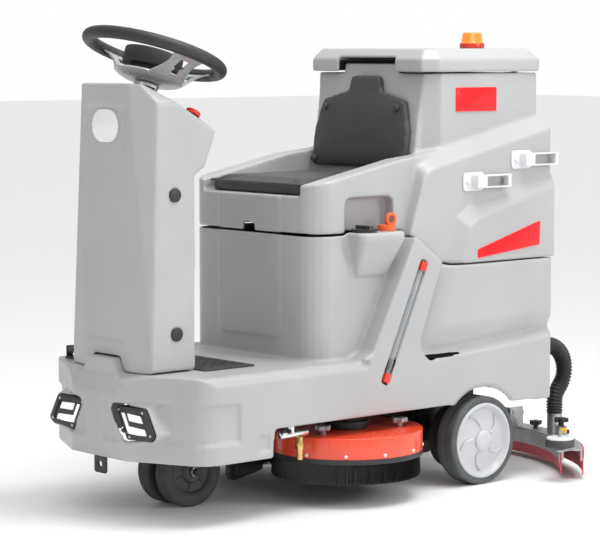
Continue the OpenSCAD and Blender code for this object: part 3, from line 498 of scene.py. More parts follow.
# ---- the pieces --------------------------------------------------------------------------------
class PieceOperator(bpy.types.Operator):
    """Makes the pieces of one group"""
    bl_options = {"REGISTER", "UNDO"}

    def execute(self, context):
        self.make(context.scene.scrubber_sizes)
        return {"FINISHED"}


class SCRUBBER_OT_stage(PieceOperator):
    """Camera, pale floor and soft studio light"""
    bl_idname = "scrubber.stage"
    bl_label = "Stage"
    LENS = 143.36
    CAMERA_PLACE = (5.0311, -4.447, 1.2325)
    CAMERA_DIP = 5.53
    CAMERA_TURN = 49.055
    FLOOR_HALF = 40.0
    LIGHTS_AIM = (0, 0, 0.6)
    # Name, place, size in metres and power in watts
    LIGHTS = (
        ("overhead_softbox", (0.9, 0.2, 3.4), 1.6, 60.0),
        ("side_softbox", (4.4, 1.9, 2.3), 1.4, 52.0),
        ("front_softbox", (0.6, -4.8, 1.9), 1.2, 9.0),
    )
    # Axis, the stretch of it over which the light changes, and its strength at either end
    SKY = (("Z", -0.1, 0.9, 0.20, 0.90), ("X", -0.2, 1.0, 0.0, 0.34), ("Y", -1.0, 0.6, 0.0, 0.14))

    def sky(self, tree):
        """A studio surround: bright above and to the machine's left, dim in front, white to the camera."""
        back = tree.nodes["Background"]
        back.inputs[1].default_value = 1.0
        place = tree.nodes.new("ShaderNodeTexCoord")
        split = tree.nodes.new("ShaderNodeSeparateXYZ")
        tree.links.new(place.outputs["Generated"], split.inputs[0])
        total = None
        for output, low, high, near, far in self.SKY:
            ramp = tree.nodes.new("ShaderNodeMapRange")
            ramp.interpolation_type = "SMOOTHSTEP"
            for name, value in (("From Min", low), ("From Max", high), ("To Min", near), ("To Max", far)):
                ramp.inputs[name].default_value = value
            tree.links.new(split.outputs[output], ramp.inputs["Value"])
            if total is None:
                total = ramp.outputs[0]
            else:
                add = tree.nodes.new("ShaderNodeMath")
                tree.links.new(total, add.inputs[0])
                tree.links.new(ramp.outputs[0], add.inputs[1])
                total = add.outputs[0]
        seen = tree.nodes.new("ShaderNodeLightPath")
        pick = tree.nodes.new("ShaderNodeMix")
        pick.data_type = "FLOAT"
        pick.inputs[3].default_value = 1.0
        tree.links.new(seen.outputs["Is Camera Ray"], pick.inputs[0])
        tree.links.new(total, pick.inputs[2])
        tree.links.new(pick.outputs[0], back.inputs[0])

    def make(self, sizes):
        scene = bpy.context.scene
        lens = bpy.data.cameras.new("camera")
        lens.lens = self.LENS
        lens.sensor_width = 36.0
        lens.clip_end = 200.0
        camera = bpy.data.objects.new("camera", lens)
        scene.collection.objects.link(camera)
        camera.location = self.CAMERA_PLACE
        camera.rotation_euler = (math.radians(90.0 - self.CAMERA_DIP), 0.0, math.radians(self.CAMERA_TURN))
        scene.camera = camera
        scene.view_settings.view_transform = "Standard"
        bm = bmesh.new()
        bmesh.ops.create_grid(bm, x_segments=8, y_segments=8, size=self.FLOOR_HALF)
        me = bpy.data.meshes.new("floor")
        bm.to_mesh(me)
        bm.free()
        floor = bpy.data.objects.new("floor", me)
        scene.collection.objects.link(floor)
        me.materials.append(finish("studio_floor", (0.93, 0.93, 0.935), 0.55, mottle=0.004,
                                   mottle_scale=2.0, rough_spread=0.03))
        world = bpy.data.worlds.new("studio")
        scene.world = world
        world.use_nodes = True
        self.sky(world.node_tree)
        for name, place, size, power in self.LIGHTS:
            lamp = bpy.data.lights.new(name, "AREA")
            lamp.shape = "DISK"
            lamp.size = size
            lamp.energy = power
            ob = bpy.data.objects.new(name, lamp)
            scene.collection.objects.link(ob)
            ob.location = place
            aim = Vector(self.LIGHTS_AIM) - Vector(place)
            ob.rotation_euler = aim.to_track_quat("-Z", "Y").to_euler()


class SCRUBBER_OT_hose(PieceOperator):
    """Ribbed suction hose from the tank to the squeegee"""
    bl_idname = "scrubber.hose"
    bl_label = "Suction hose"
    RADIUS = 0.025
    # Radii of the bend out of the tank and of the bend back down, which meet where the hose slopes most
    BEND = 0.075
    BACK = 0.060
    SLOPE = 45.0
    # How far behind the squeegee's pin the hose ends
    END_BEHIND_PIN = 0.00732
    BEND_STEPS = 177
    BACK_STEPS = 47
    # Depth of a groove between two ribs, as a share of the radius, from crest to trough
    RIB_DEPTH = 0.15

    def make(self, sizes):
        pin = Vector(JOINTS["squeegee_level"]["pos_m"])
        centre, low, high = middle("suction_hose")
        x, bend, back, slope = centre.x, self.BEND, self.BACK, math.radians(self.SLOPE)
        end_y = pin.y + self.END_BEHIND_PIN
        top_y = end_y - (bend + back) * math.cos(slope) + back
        top_z = high.z - self.RADIUS - bend
        bend_y = top_y + (bend + back) * math.cos(slope)
        bend_z = top_z - (bend + back) * math.sin(slope)
        points = [Vector((x, low.y, top_z + bend))]

        def lead(p):
            while (p - points[-1]).length > 0.0012:
                points.append(points[-1] + (p - points[-1]).normalized() * 0.001)

        lead(Vector((x, top_y, top_z + bend)))
        turn = 180.0 - self.SLOPE
        for i in range(1, self.BEND_STEPS + 1):
            a = math.radians(90.0 - i * turn / self.BEND_STEPS)
            points.append(Vector((x, top_y + bend * math.cos(a), top_z + bend * math.sin(a))))
        for i in range(1, self.BACK_STEPS + 1):
            a = math.radians(turn + i * self.SLOPE / self.BACK_STEPS)
            points.append(Vector((x, bend_y + back * math.cos(a), bend_z + back * math.sin(a))))
        lead(Vector((x, end_y, low.z)))
        run, widths = 0.0, [1.0]
        for a, b in zip(points, points[1:]):
            run += (b - a).length
            wave = math.cos(math.tau * run / sizes.hose_rib)
            widths.append(1.0 - self.RIB_DEPTH / 2 + self.RIB_DEPTH / 2 * wave)
        me = tube("suction_hose_ribbed", points, self.RADIUS, sides=6, widths=widths)
        hose = named_piece("suction_hose_ribbed", me, None, ["suction_hose"], ["hose"])
        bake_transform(hose)


class SCRUBBER_OT_mouldings(PieceOperator):
    """Rotomoulded lower body, tank, column and lid"""
    bl_idname = "scrubber.mouldings"
    bl_label = "Mouldings"

    def make(self, sizes):
        voxel = sizes.moulding_voxel
        remoulded("lower_body", "lower_body_moulding", voxel, 7, 0.42)
        remoulded("upper_tank", "upper_tank_moulding", voxel, 7, 0.42)
        remoulded("column_body", "column_moulding", voxel * 0.9, 8, 0.45)
        remoulded("lid", "lid_moulding", voxel * 0.9, 8, 0.5)


class SCRUBBER_OT_seat(PieceOperator):
    """Seat cushion and back pad, swelled by cloth simulation"""
    bl_idname = "scrubber.seat"
    bl_label = "Seat and back pad"
    CUSHION_INSET = 0.007
    CUSHION_CORNER = 0.022
    PIPING_CORNER = 0.02
    # The leaning wall that carries the back pad: its place at the lid's foot, and its lean in degrees
    WALL_Y = 0.1865
    WALL_LEAN = -7.9
    PAD_BACK = 0.002
    PAD_FRONT = 0.024
    PAD_HALF = ((0.193, -0.262), (0.195, -0.160), (0.170, -0.070), (0.068, -0.045), (0.056, 0.0))
    BUTTONS = ((0.150, -0.092), (0.176, -0.244))
    BUTTON_RADIUS = 0.0105
    # Points nearer than this to the side that a pad rests on are held while it swells
    HELD = 0.006

    def pad(self, sizes, name, points, near, far, corner, hold, slot, nodes, body):
        bm = bmesh.new()
        outline_solid(bm, points, near, far, corner, 6)
        bmesh.ops.recalc_face_normals(bm, faces=bm.faces)
        ob = scratch(name + "_start", bm)
        shell = ob.modifiers.new("shell", "REMESH")
        shell.mode = "VOXEL"
        shell.voxel_size = sizes.pad_voxel
        me = settled(ob, name)
        ob = bpy.data.objects.new(name + "_cloth", me)
        bpy.context.scene.collection.objects.link(ob)
        me = refined(swollen(ob, name, sizes.pad_rise, hold), name)
        return named_piece(name, me, body, nodes, ["vinyl"])

    def make(self, sizes):
        centre, low, high = middle("seat_cushion")
        inset = self.CUSHION_INSET
        corners = [(low.x + inset, low.y + inset), (high.x - inset, low.y + inset),
                   (high.x - inset, high.y - inset), (low.x + inset, high.y - inset)]
        base = low.z + 0.001
        top = high.z - 0.007
        cushion = self.pad(sizes, "seat_cushion_padded", [(x, y, 0.0) for x, y in corners], (0, 0, base),
                           (0, 0, top), self.CUSHION_CORNER, lambda v: v.co.z < base + self.HELD,
                           "seat_leather", ["seat_cushion"], "upper")
        # Rolled edge round the top of the cushion
        ring = []
        r = self.PIPING_CORNER
        for cx, cy, a in ((high.x, high.y, 0), (low.x, high.y, 90), (low.x, low.y, 180), (high.x, low.y, 270)):
            sx = -1 if cx > 0 else 1
            sy = -1 if cy > centre.y else 1
            for i in range(9):
                t = math.radians(a + i * 90 / 8)
                ring.append((cx + sx * (r + 0.002) + r * math.cos(t), cy + sy * (r + 0.002) + r * math.sin(t),
                             top - 0.004))
        rolled = tube("seat_piping", ring, sizes.piping, closed=True, sides=3)
        named_piece("seat_piping", rolled, "upper", (), ["charcoal"])
        # Back pad, on the leaning wall of the tank
        lid_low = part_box("lid")[0].z
        lean = Matrix.Rotation(math.radians(self.WALL_LEAN), 4, "X")
        tilt = Matrix.Translation((0, self.WALL_Y, lid_low)) @ lean
        outline = self.PAD_HALF + tuple((-x, z) for x, z in reversed(self.PAD_HALF))
        normal = tilt.to_3x3() @ Vector((0, -1, 0))
        foot = tilt @ Vector((0, -0.002, 0))
        pad = self.pad(sizes, "back_pad_padded", [tilt @ Vector((x, 0, z)) for x, z in outline],
                       normal * self.PAD_BACK, normal * self.PAD_FRONT, 0.01,
                       lambda v: (v.co - foot).dot(normal) < self.HELD, "seat_leather", ["back_pad"],
                       "upper")
        bm = bmesh.new()
        for x, z in self.BUTTONS:
            for side in (-1, 1):
                turn = tilt @ Matrix.Translation((side * x, -0.031, z)) @ \
                    Matrix.Rotation(math.radians(90), 4, "X")
                bmesh.ops.create_uvsphere(bm, u_segments=20, v_segments=10, radius=self.BUTTON_RADIUS,
                                          matrix=turn @ Matrix.Diagonal((1, 1, 0.36, 1)))
        piece("pad_buttons", bm, "upper", (), ["charcoal"], crease=60)


class SCRUBBER_OT_wheels(PieceOperator):
    """Tyres, spoked rims and hubs"""
    bl_idname = "scrubber.wheels"
    bl_label = "Wheels"
    REAR_RIBS = 5
    FRONT_RIBS = 6
    RIB_POINTS = 9
    # Turns a disc's axis from Z to X
    ACROSS = Matrix.Rotation(math.radians(90), 4, "Y")

    def tyre(self, node, name, rim, slot, look, edge):
        centre, low, high = middle(node)
        r, w = (high.z - low.z) / 2, high.x - low.x
        h = w / 2
        outline = [(rim, -h + 0.002), (rim + 0.003, -h), (r - edge, -h)]
        for i in range(1, 6):
            a = math.radians(i * 90 / 6)
            outline.append((r - edge + edge * math.sin(a), -h + edge - edge * math.cos(a)))
        outline += [(r, -h + edge)]
        outline += [(r, -0.004), (r - 0.0008, -0.002), (r - 0.0008, 0.002), (r, 0.004), (r, h - edge)]
        outline += [(a, -b) for a, b in reversed(outline[:9])]
        bm = bmesh.new()
        turned(bm, outline + [outline[0]], centre, (1, 0, 0), 96)
        piece(name, bm, NODES[node]["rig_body"], [node], [look])

    def rear_rim(self, side, node, name):
        centre, low, high = middle(node)
        tyre_low, tyre_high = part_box(node.replace("rim", "tyre"))
        face = tyre_high.x if side > 0 else tyre_low.x
        middle_x = (tyre_low.x + tyre_high.x) / 2
        r = (high.z - low.z) / 2
        axis = (side, 0, 0)
        origin = Vector((face, centre.y, centre.z))
        bm = bmesh.new()
        turned(bm, [(r, -0.055), (r, -0.001), (r - 0.003, 0.002), (r - 0.008, 0.002), (r - 0.012, -0.002),
                    (r - 0.016, -0.010), (r - 0.022, -0.014), (0.05, -0.010), (0.034, -0.006), (0.030, -0.0055),
                    (0.0295, 0.001), (0.027, 0.0035), (0.018, 0.0055), (0.0001, 0.0065)], origin, axis, 90)
        # Swept ribs between the hub and the outer ring
        shares = [i / (self.RIB_POINTS - 1) for i in range(self.RIB_POINTS)]
        for k in range(self.REAR_RIBS):
            a = math.tau * k / self.REAR_RIBS + 0.5
            rib = []
            for t in shares:
                radius = 0.036 + t * (r - 0.058)
                angle = a + 0.42 * t * t * side
                rib.append(origin + Vector((side * (-0.0075 - 0.004 * t), radius * math.cos(angle),
                                            radius * math.sin(angle))))
            bm.from_mesh(tube("rib", rib, 0.0042, sides=2, widths=[1.15 - 0.45 * t for t in shares]))
        # Web behind the dish, and the hub that carries the axle
        disc(bm, Matrix.Translation((middle_x - side * 0.012, centre.y, centre.z)) @ self.ACROSS,
             r - 0.012, 0.012, 48)
        inner = centre.x - side * (high.x - low.x) / 2
        shaft = Matrix.Translation(((inner + middle_x) / 2, centre.y, centre.z)) @ self.ACROSS
        disc(bm, shaft, 0.00995, abs(middle_x - inner) * 0.98, 32)
        piece(name, bm, NODES[node]["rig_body"], [node], ["rim"], crease=40)

    def front_hub(self, side, node, name):
        centre = middle(node)[0]
        tyre_low, tyre_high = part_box(node.replace("hub", "tyre"))
        face = tyre_high.x if side > 0 else tyre_low.x
        origin = Vector((face, centre.y, centre.z))
        axis = (side, 0, 0)
        depth = tyre_high.x - tyre_low.x
        bm = bmesh.new()
        turned(bm, [(0.0105, -depth), (0.0655, -depth + 0.002), (0.0655, -0.001), (0.061, 0.0005),
                    (0.058, -0.003), (0.056, -0.007), (0.034, -0.008), (0.030, -0.002), (0.027, 0.001),
                    (0.0105, 0.001), (0.0105, -depth)], origin, axis, 72)
        for k in range(self.FRONT_RIBS):
            a = math.tau * k / self.FRONT_RIBS + 0.3
            rib = [origin + Vector((side * -0.0068, q * math.cos(a), q * math.sin(a)))
                   for q in (0.031, 0.044, 0.057)]
            bm.from_mesh(tube("rib", rib, 0.0026, sides=2))
        piece(name, bm, NODES[node]["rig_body"], [node], ["charcoal"], crease=40)

    def make(self, sizes):
        for side, word in ((1, "left"), (-1, "right")):
            rear, front = "rear_" + word, "front_" + word
            self.tyre(rear + "_tyre", rear + "_tread", 0.1066, "tyre_grey", "tyre", 0.008)
            self.tyre(front + "_tyre", front + "_tread", 0.0658, "tyre_dark", "tyre_front", 0.009)
            self.rear_rim(side, rear + "_rim", rear + "_wheel")
            self.front_hub(side, front + "_hub", front + "_wheel")
        # A nut and a round cap on either side of the fork
        bm = bmesh.new()
        low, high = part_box("fork")
        y, z = low.y + (high.y - low.y) / 2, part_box("front_left_tyre")[0].z + 0.097
        for side in (-1, 1):
            x = side * 0.0665
            disc(bm, Matrix.Translation((x, y, z)) @ self.ACROSS, 0.0135, 0.007, 6)
            disc(bm, Matrix.Translation((x + side * 0.006, y, z)) @ self.ACROSS, 0.0085, 0.008, 20)
        piece("axle_nuts", bevelled(bm, 0.0008), "fork", (), ["steel"])


class SCRUBBER_OT_steering(PieceOperator):
    """Steering wheel rim, dished spokes and shaft"""
    bl_idname = "scrubber.steering"
    bl_label = "Steering wheel"
    RIM_RADIUS = 0.180
    GRIP_RADIUS = 0.0168
    GRIP_SIDES = 24
    # Degrees that an arm sweeps before it is waisted, and where the arms stand
    ARM_SWEEP = 84.0
    ARM_TURNS = (0, 90, 180)
    # Radii that the waist and the slot of an arm lie between
    WAIST_START, WAIST_LENGTH, WAIST_CUT = 0.09, 0.04, 0.58
    SLOT = (0.102, 0.139)
    SLOT_HALF_ANGLE = 0.115
    SHEET = 0.0045
    BOLTS = 5

    def make(self, sizes):
        joint = JOINTS["steering"]
        axis = Vector(joint["axis"]).normalized()
        centre = Vector(joint["pos_m"])
        tilt = Matrix.Translation(centre) @ Matrix.Rotation(-math.asin(axis.y), 4, "X")
        bm = bmesh.new()
        angles = [math.tau * i / self.GRIP_SIDES for i in range(self.GRIP_SIDES + 1)]
        turned(bm, [(self.RIM_RADIUS + self.GRIP_RADIUS * math.cos(a), self.GRIP_RADIUS * math.sin(a))
                    for a in angles], centre, axis, 96)
        piece("steering_rim_grip", bm, "steering_wheel", ["steering_rim"], ["grip"])
        bm = bmesh.new()
        # Dish, then three arms that rise to the rim, each with a slot
        turned(bm, [(0.0135, -0.080), (0.035, -0.081), (0.070, -0.077), (0.085, -0.071), (0.0945, -0.064)],
               (0, 0, 0), (0, 0, 1), 72)
        for turn in self.ARM_TURNS:
            arm = bmesh.new()
            line = [(0.090, -0.0675), (0.102, -0.056), (0.114, -0.043), (0.127, -0.031), (0.140, -0.021),
                    (0.152, -0.013), (0.164, -0.008)]
            verts = [arm.verts.new((r, 0.0, h)) for r, h in line]
            edges = [arm.edges.new(p) for p in zip(verts, verts[1:])]
            sweep = math.radians(self.ARM_SWEEP)
            bmesh.ops.rotate(arm, verts=verts, cent=(0, 0, 0), matrix=Matrix.Rotation(-sweep / 2, 3, "Z"))
            bmesh.ops.spin(arm, geom=verts + edges, cent=(0, 0, 0), axis=(0, 0, 1), angle=sweep, steps=28)
            for v in arm.verts:
                angle, radius = math.atan2(v.co.y, v.co.x), math.hypot(v.co.x, v.co.y)
                along = min(1.0, max(0.0, (radius - self.WAIST_START) / self.WAIST_LENGTH))
                waist = 1.0 - self.WAIST_CUT * math.sin(math.pi / 2 * along)
                v.co.x, v.co.y = radius * math.cos(angle * waist), radius * math.sin(angle * waist)
            slot = []
            for f in arm.faces:
                c = f.calc_center_median()
                if self.SLOT[0] < c.xy.length < self.SLOT[1] and \
                        abs(math.atan2(c.y, c.x)) < self.SLOT_HALF_ANGLE:
                    slot.append(f)
            bmesh.ops.delete(arm, geom=slot, context="FACES")
            bmesh.ops.rotate(arm, verts=arm.verts, cent=(0, 0, 0),
                             matrix=Matrix.Rotation(math.radians(turn), 3, "Z"))
            join(bm, arm)
        bmesh.ops.recalc_face_normals(bm, faces=bm.faces)
        bmesh.ops.solidify(bm, geom=bm.faces[:], thickness=self.SHEET)
        bmesh.ops.transform(bm, matrix=tilt, verts=bm.verts)
        piece("steering_spokes_dish", bm, "steering_wheel", ["steering_spokes"], ["spoke"],
              crease=50)
        bm = bmesh.new()
        # Dark centre pad between the arms
        for z, r, h in ((-0.020, 0.079, 0.044), (-0.049, 0.058, 0.016), (-0.066, 0.034, 0.026)):
            disc(bm, tilt @ Matrix.Translation((0, 0, z)), r, h, 64)
        piece("steering_centre_pad", bevelled(bm, 0.004, 3), "steering_wheel", (), ["grip"])
        bm = bmesh.new()
        # Collar and nut under the dish
        for z, r, h in ((-0.088, 0.034, 0.010), (-0.098, 0.024, 0.012), (-0.106, 0.031, 0.006)):
            disc(bm, tilt @ Matrix.Translation((0, 0, z)), r, h, 40)
        for k in range(self.BOLTS):
            a = math.tau * k / self.BOLTS + 0.4
            bolt = Matrix.Translation((0.027 * math.cos(a), 0.027 * math.sin(a), -0.097))
            disc(bm, tilt @ bolt, 0.004, 0.014, 6)
        piece("steering_collar", bevelled(bm, 0.001), "steering_wheel", (), ["steel"])
        softened("steering_shaft", "shaft_steel", "steel", 0.0008)


class SCRUBBER_OT_front(PieceOperator):
    """Headlights, badge, tow plate, column plugs and dash controls"""
    bl_idname = "scrubber.front"
    bl_label = "Front details"
    # Outlines of the two light strips and places of the screws on the left headlight, as (x, z)
    STRIPS = (
        ((0.116, 0.287), (0.172, 0.285), (0.183, 0.267), (0.126, 0.268)),
        ((0.090, 0.286), (0.104, 0.287), (0.122, 0.254), (0.190, 0.252), (0.200, 0.234), (0.116, 0.235)),
    )
    SCREWS = ((0.080, 0.294), (0.182, 0.295), (0.127, 0.227), (0.215, 0.239))
    STRIP_SUNK = 0.002
    STRIP_PROUD = 0.002
    REST = (
        ("badge", "badge_white", "badge"),
        ("tow_plate", "frame_steel", "black"),
        ("column_plugs", "black_plastic", "black"),
        ("dash_panel", "black_plastic", "charcoal"),
        ("emergency_stop", "red_plastic", "red", 0.003, 3),
        ("key_switch", "shaft_steel", "steel", 0.0006),
        ("speed_dial", "black_plastic", "black", 0.0015),
        ("pedal", "black_plastic", "grip", 0.002),
        ("pedal_bracket", "frame_steel", "frame", 0.0008),
        ("steering_bearing", "shaft_steel", "charcoal", 0.0015),
    )

    def make(self, sizes):
        softened("headlight_bezels", "black_plastic", "black", 0.003, 3)
        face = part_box("headlight_lenses")[0].y
        bm = bmesh.new()
        for strip in self.STRIPS:
            outline_solid(bm, [(x, 0, z) for x, z in strip], (0, face + self.STRIP_SUNK, 0),
                          (0, face - self.STRIP_PROUD, 0), 0.002, 3)
        mirrored(bm)
        piece("headlight_strips", bm, "root", (), ["light"])
        softened("headlight_lenses", "black_plastic", "black", 0.001)
        bm = bmesh.new()
        bezel_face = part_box("headlight_bezels")[0].y
        for x, z in self.SCREWS:
            disc(bm, Matrix.Translation((x, bezel_face - 0.0003, z)) @
                 Matrix.Rotation(math.radians(90), 4, "X"), 0.0042, 0.002, 14)
        mirrored(bm)
        piece("headlight_screws", bevelled(bm, 0.0005), "root", (), ["steel"])
        softened_rows(self.REST)


class SCRUBBER_OT_mat(PieceOperator):
    """Floor mat with rows of raised bars"""
    bl_idname = "scrubber.mat"
    bl_label = "Floor mat"
    PITCH = 0.017
    BAR = (0.013, 0.004, 0.0028)

    def make(self, sizes):
        low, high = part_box("floor_mat")
        bm = bevelled(cad_copy("floor_mat"), 0.0015)
        for i in range(int((high.x - low.x - 0.03) / self.PITCH)):
            for j in range(int((high.y - low.y - 0.02) / self.PITCH)):
                x = low.x + 0.02 + i * self.PITCH
                y = low.y + 0.016 + j * self.PITCH
                turn = Matrix.Rotation(math.radians(45 if (i + j) % 2 else -45), 4, "Z")
                bar = Matrix.Translation((x, y, high.z)) @ turn @ Matrix.Diagonal((*self.BAR, 1.0))
                bmesh.ops.create_cube(bm, size=1.0, matrix=bar)
        piece("floor_mat_chequer", bm, "root", ["floor_mat"], ["mat"], fix_normals=False)


class SCRUBBER_OT_deck(PieceOperator):
    """Brush deck, bristles, knobs, screws and motors"""
    bl_idname = "scrubber.deck"
    bl_label = "Brush deck"
    BRISTLE = 0.082
    # A brush is one wedge of tufts, repeated this many times
    WEDGES = 30
    ROWS = 4
    ROW_PITCH = 0.0028
    SCREW_ANGLES = (-72, -42, -12, 18, 48)
    SCREW_ABOVE_RIM = 0.017

    def brush(self, sizes, node, name):
        joint = JOINTS["left_brush_spin" if node == "brush_left" else "right_brush_spin"]
        centre = Vector(joint["pos_m"])
        low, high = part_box(node)
        tip, root = low.z, low.z + self.BRISTLE
        r = (high.x - low.x) / 2
        centre.z = 0.0
        # Block that carries the tufts, with a dense dark core between them
        bm = bmesh.new()
        turned(bm, [(0.0001, root), (0.09, root), (0.104, tip + 0.006), (r - 0.012, tip + 0.006),
                    (r - 0.008, root), (r - 0.006, root + 0.0005), (r - 0.006, root + 0.009),
                    (0.0001, root + 0.009)], centre, (0, 0, 1), 96)
        disc(bm, Matrix.Translation((centre.x, centre.y, (root + high.z) / 2)), 0.0079, high.z - root, 24)
        random.seed(7 if node == "brush_left" else 8)
        tufts = bmesh.new()
        wedge = math.tau / self.WEDGES
        count = sizes.tufts
        for i in range(count):
            a = wedge * (i + random.random() * 0.8) / count
            q = r - 0.002 - i % self.ROWS * self.ROW_PITCH - random.random() * 0.001
            lean = Matrix.Rotation(random.uniform(-0.05, 0.05), 4, "X") @ \
                Matrix.Rotation(random.uniform(-0.06, 0.02), 4, "Y")
            place = Matrix.Rotation(a, 4, "Z") @ Matrix.Translation((q, 0, (tip + root) / 2)) @ lean
            bmesh.ops.create_cone(tufts, cap_ends=False, segments=3, radius1=sizes.tuft * 0.7,
                                  radius2=sizes.tuft, depth=root - tip - random.random() * 0.002, matrix=place)
        copies = self.WEDGES - 1
        bmesh.ops.spin(tufts, geom=tufts.verts[:] + tufts.edges[:] + tufts.faces[:], cent=(0, 0, 0),
                       axis=(0, 0, 1), angle=math.tau * copies / self.WEDGES, steps=copies,
                       use_duplicate=True)
        bmesh.ops.translate(tufts, verts=tufts.verts, vec=centre)
        join(bm, tufts)
        piece(name, bm, NODES[node]["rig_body"], [node], ["bristle"], fix_normals=False)

    def make(self, sizes):
        self.brush(sizes, "brush_left", "left_brush_bristled")
        self.brush(sizes, "brush_right", "right_brush_bristled")
        softened("deck_cover", "shroud_orange", "deck", 0.0035, 3, 50)
        softened("deck_knobs", "knob_grey", "knob", 0.0016)
        softened("brush_motors", "drive_steel", "drive", 0.003)
        # Screws round the outer face of the shroud
        low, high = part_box("deck_cover")
        bm = bmesh.new()
        centre = Vector(JOINTS["left_brush_spin"]["pos_m"])
        r = high.x - centre.x
        for a in self.SCREW_ANGLES:
            t = math.radians(a)
            seat = Vector((centre.x + (r + 0.001) * math.cos(t), centre.y + (r + 0.001) * math.sin(t),
                           low.z + self.SCREW_ABOVE_RIM))
            place = Matrix.Translation(seat) @ Matrix.Rotation(t, 4, "Z") @ \
                Matrix.Rotation(math.radians(90), 4, "Y")
            disc(bm, place, 0.0055, 0.0035, 16, 0.0035)
        mirrored(bm)
        piece("deck_screws", bm, "deck", (), ["white"])
        # Black rubber skirt under the enamelled shroud
        bm = bmesh.new()
        for side in (-1, 1):
            hub = Vector((side * centre.x, centre.y, 0.0))
            turned(bm, [(r - 0.0045, low.z - 0.006), (r - 0.0002, low.z - 0.006), (r + 0.0008, low.z - 0.003),
                        (r + 0.0012, low.z + 0.008), (r - 0.0045, low.z + 0.008), (r - 0.0045, low.z - 0.006)],
                   hub, (0, 0, 1), 96)
        piece("deck_skirt", bm, "deck", (), ["black"])


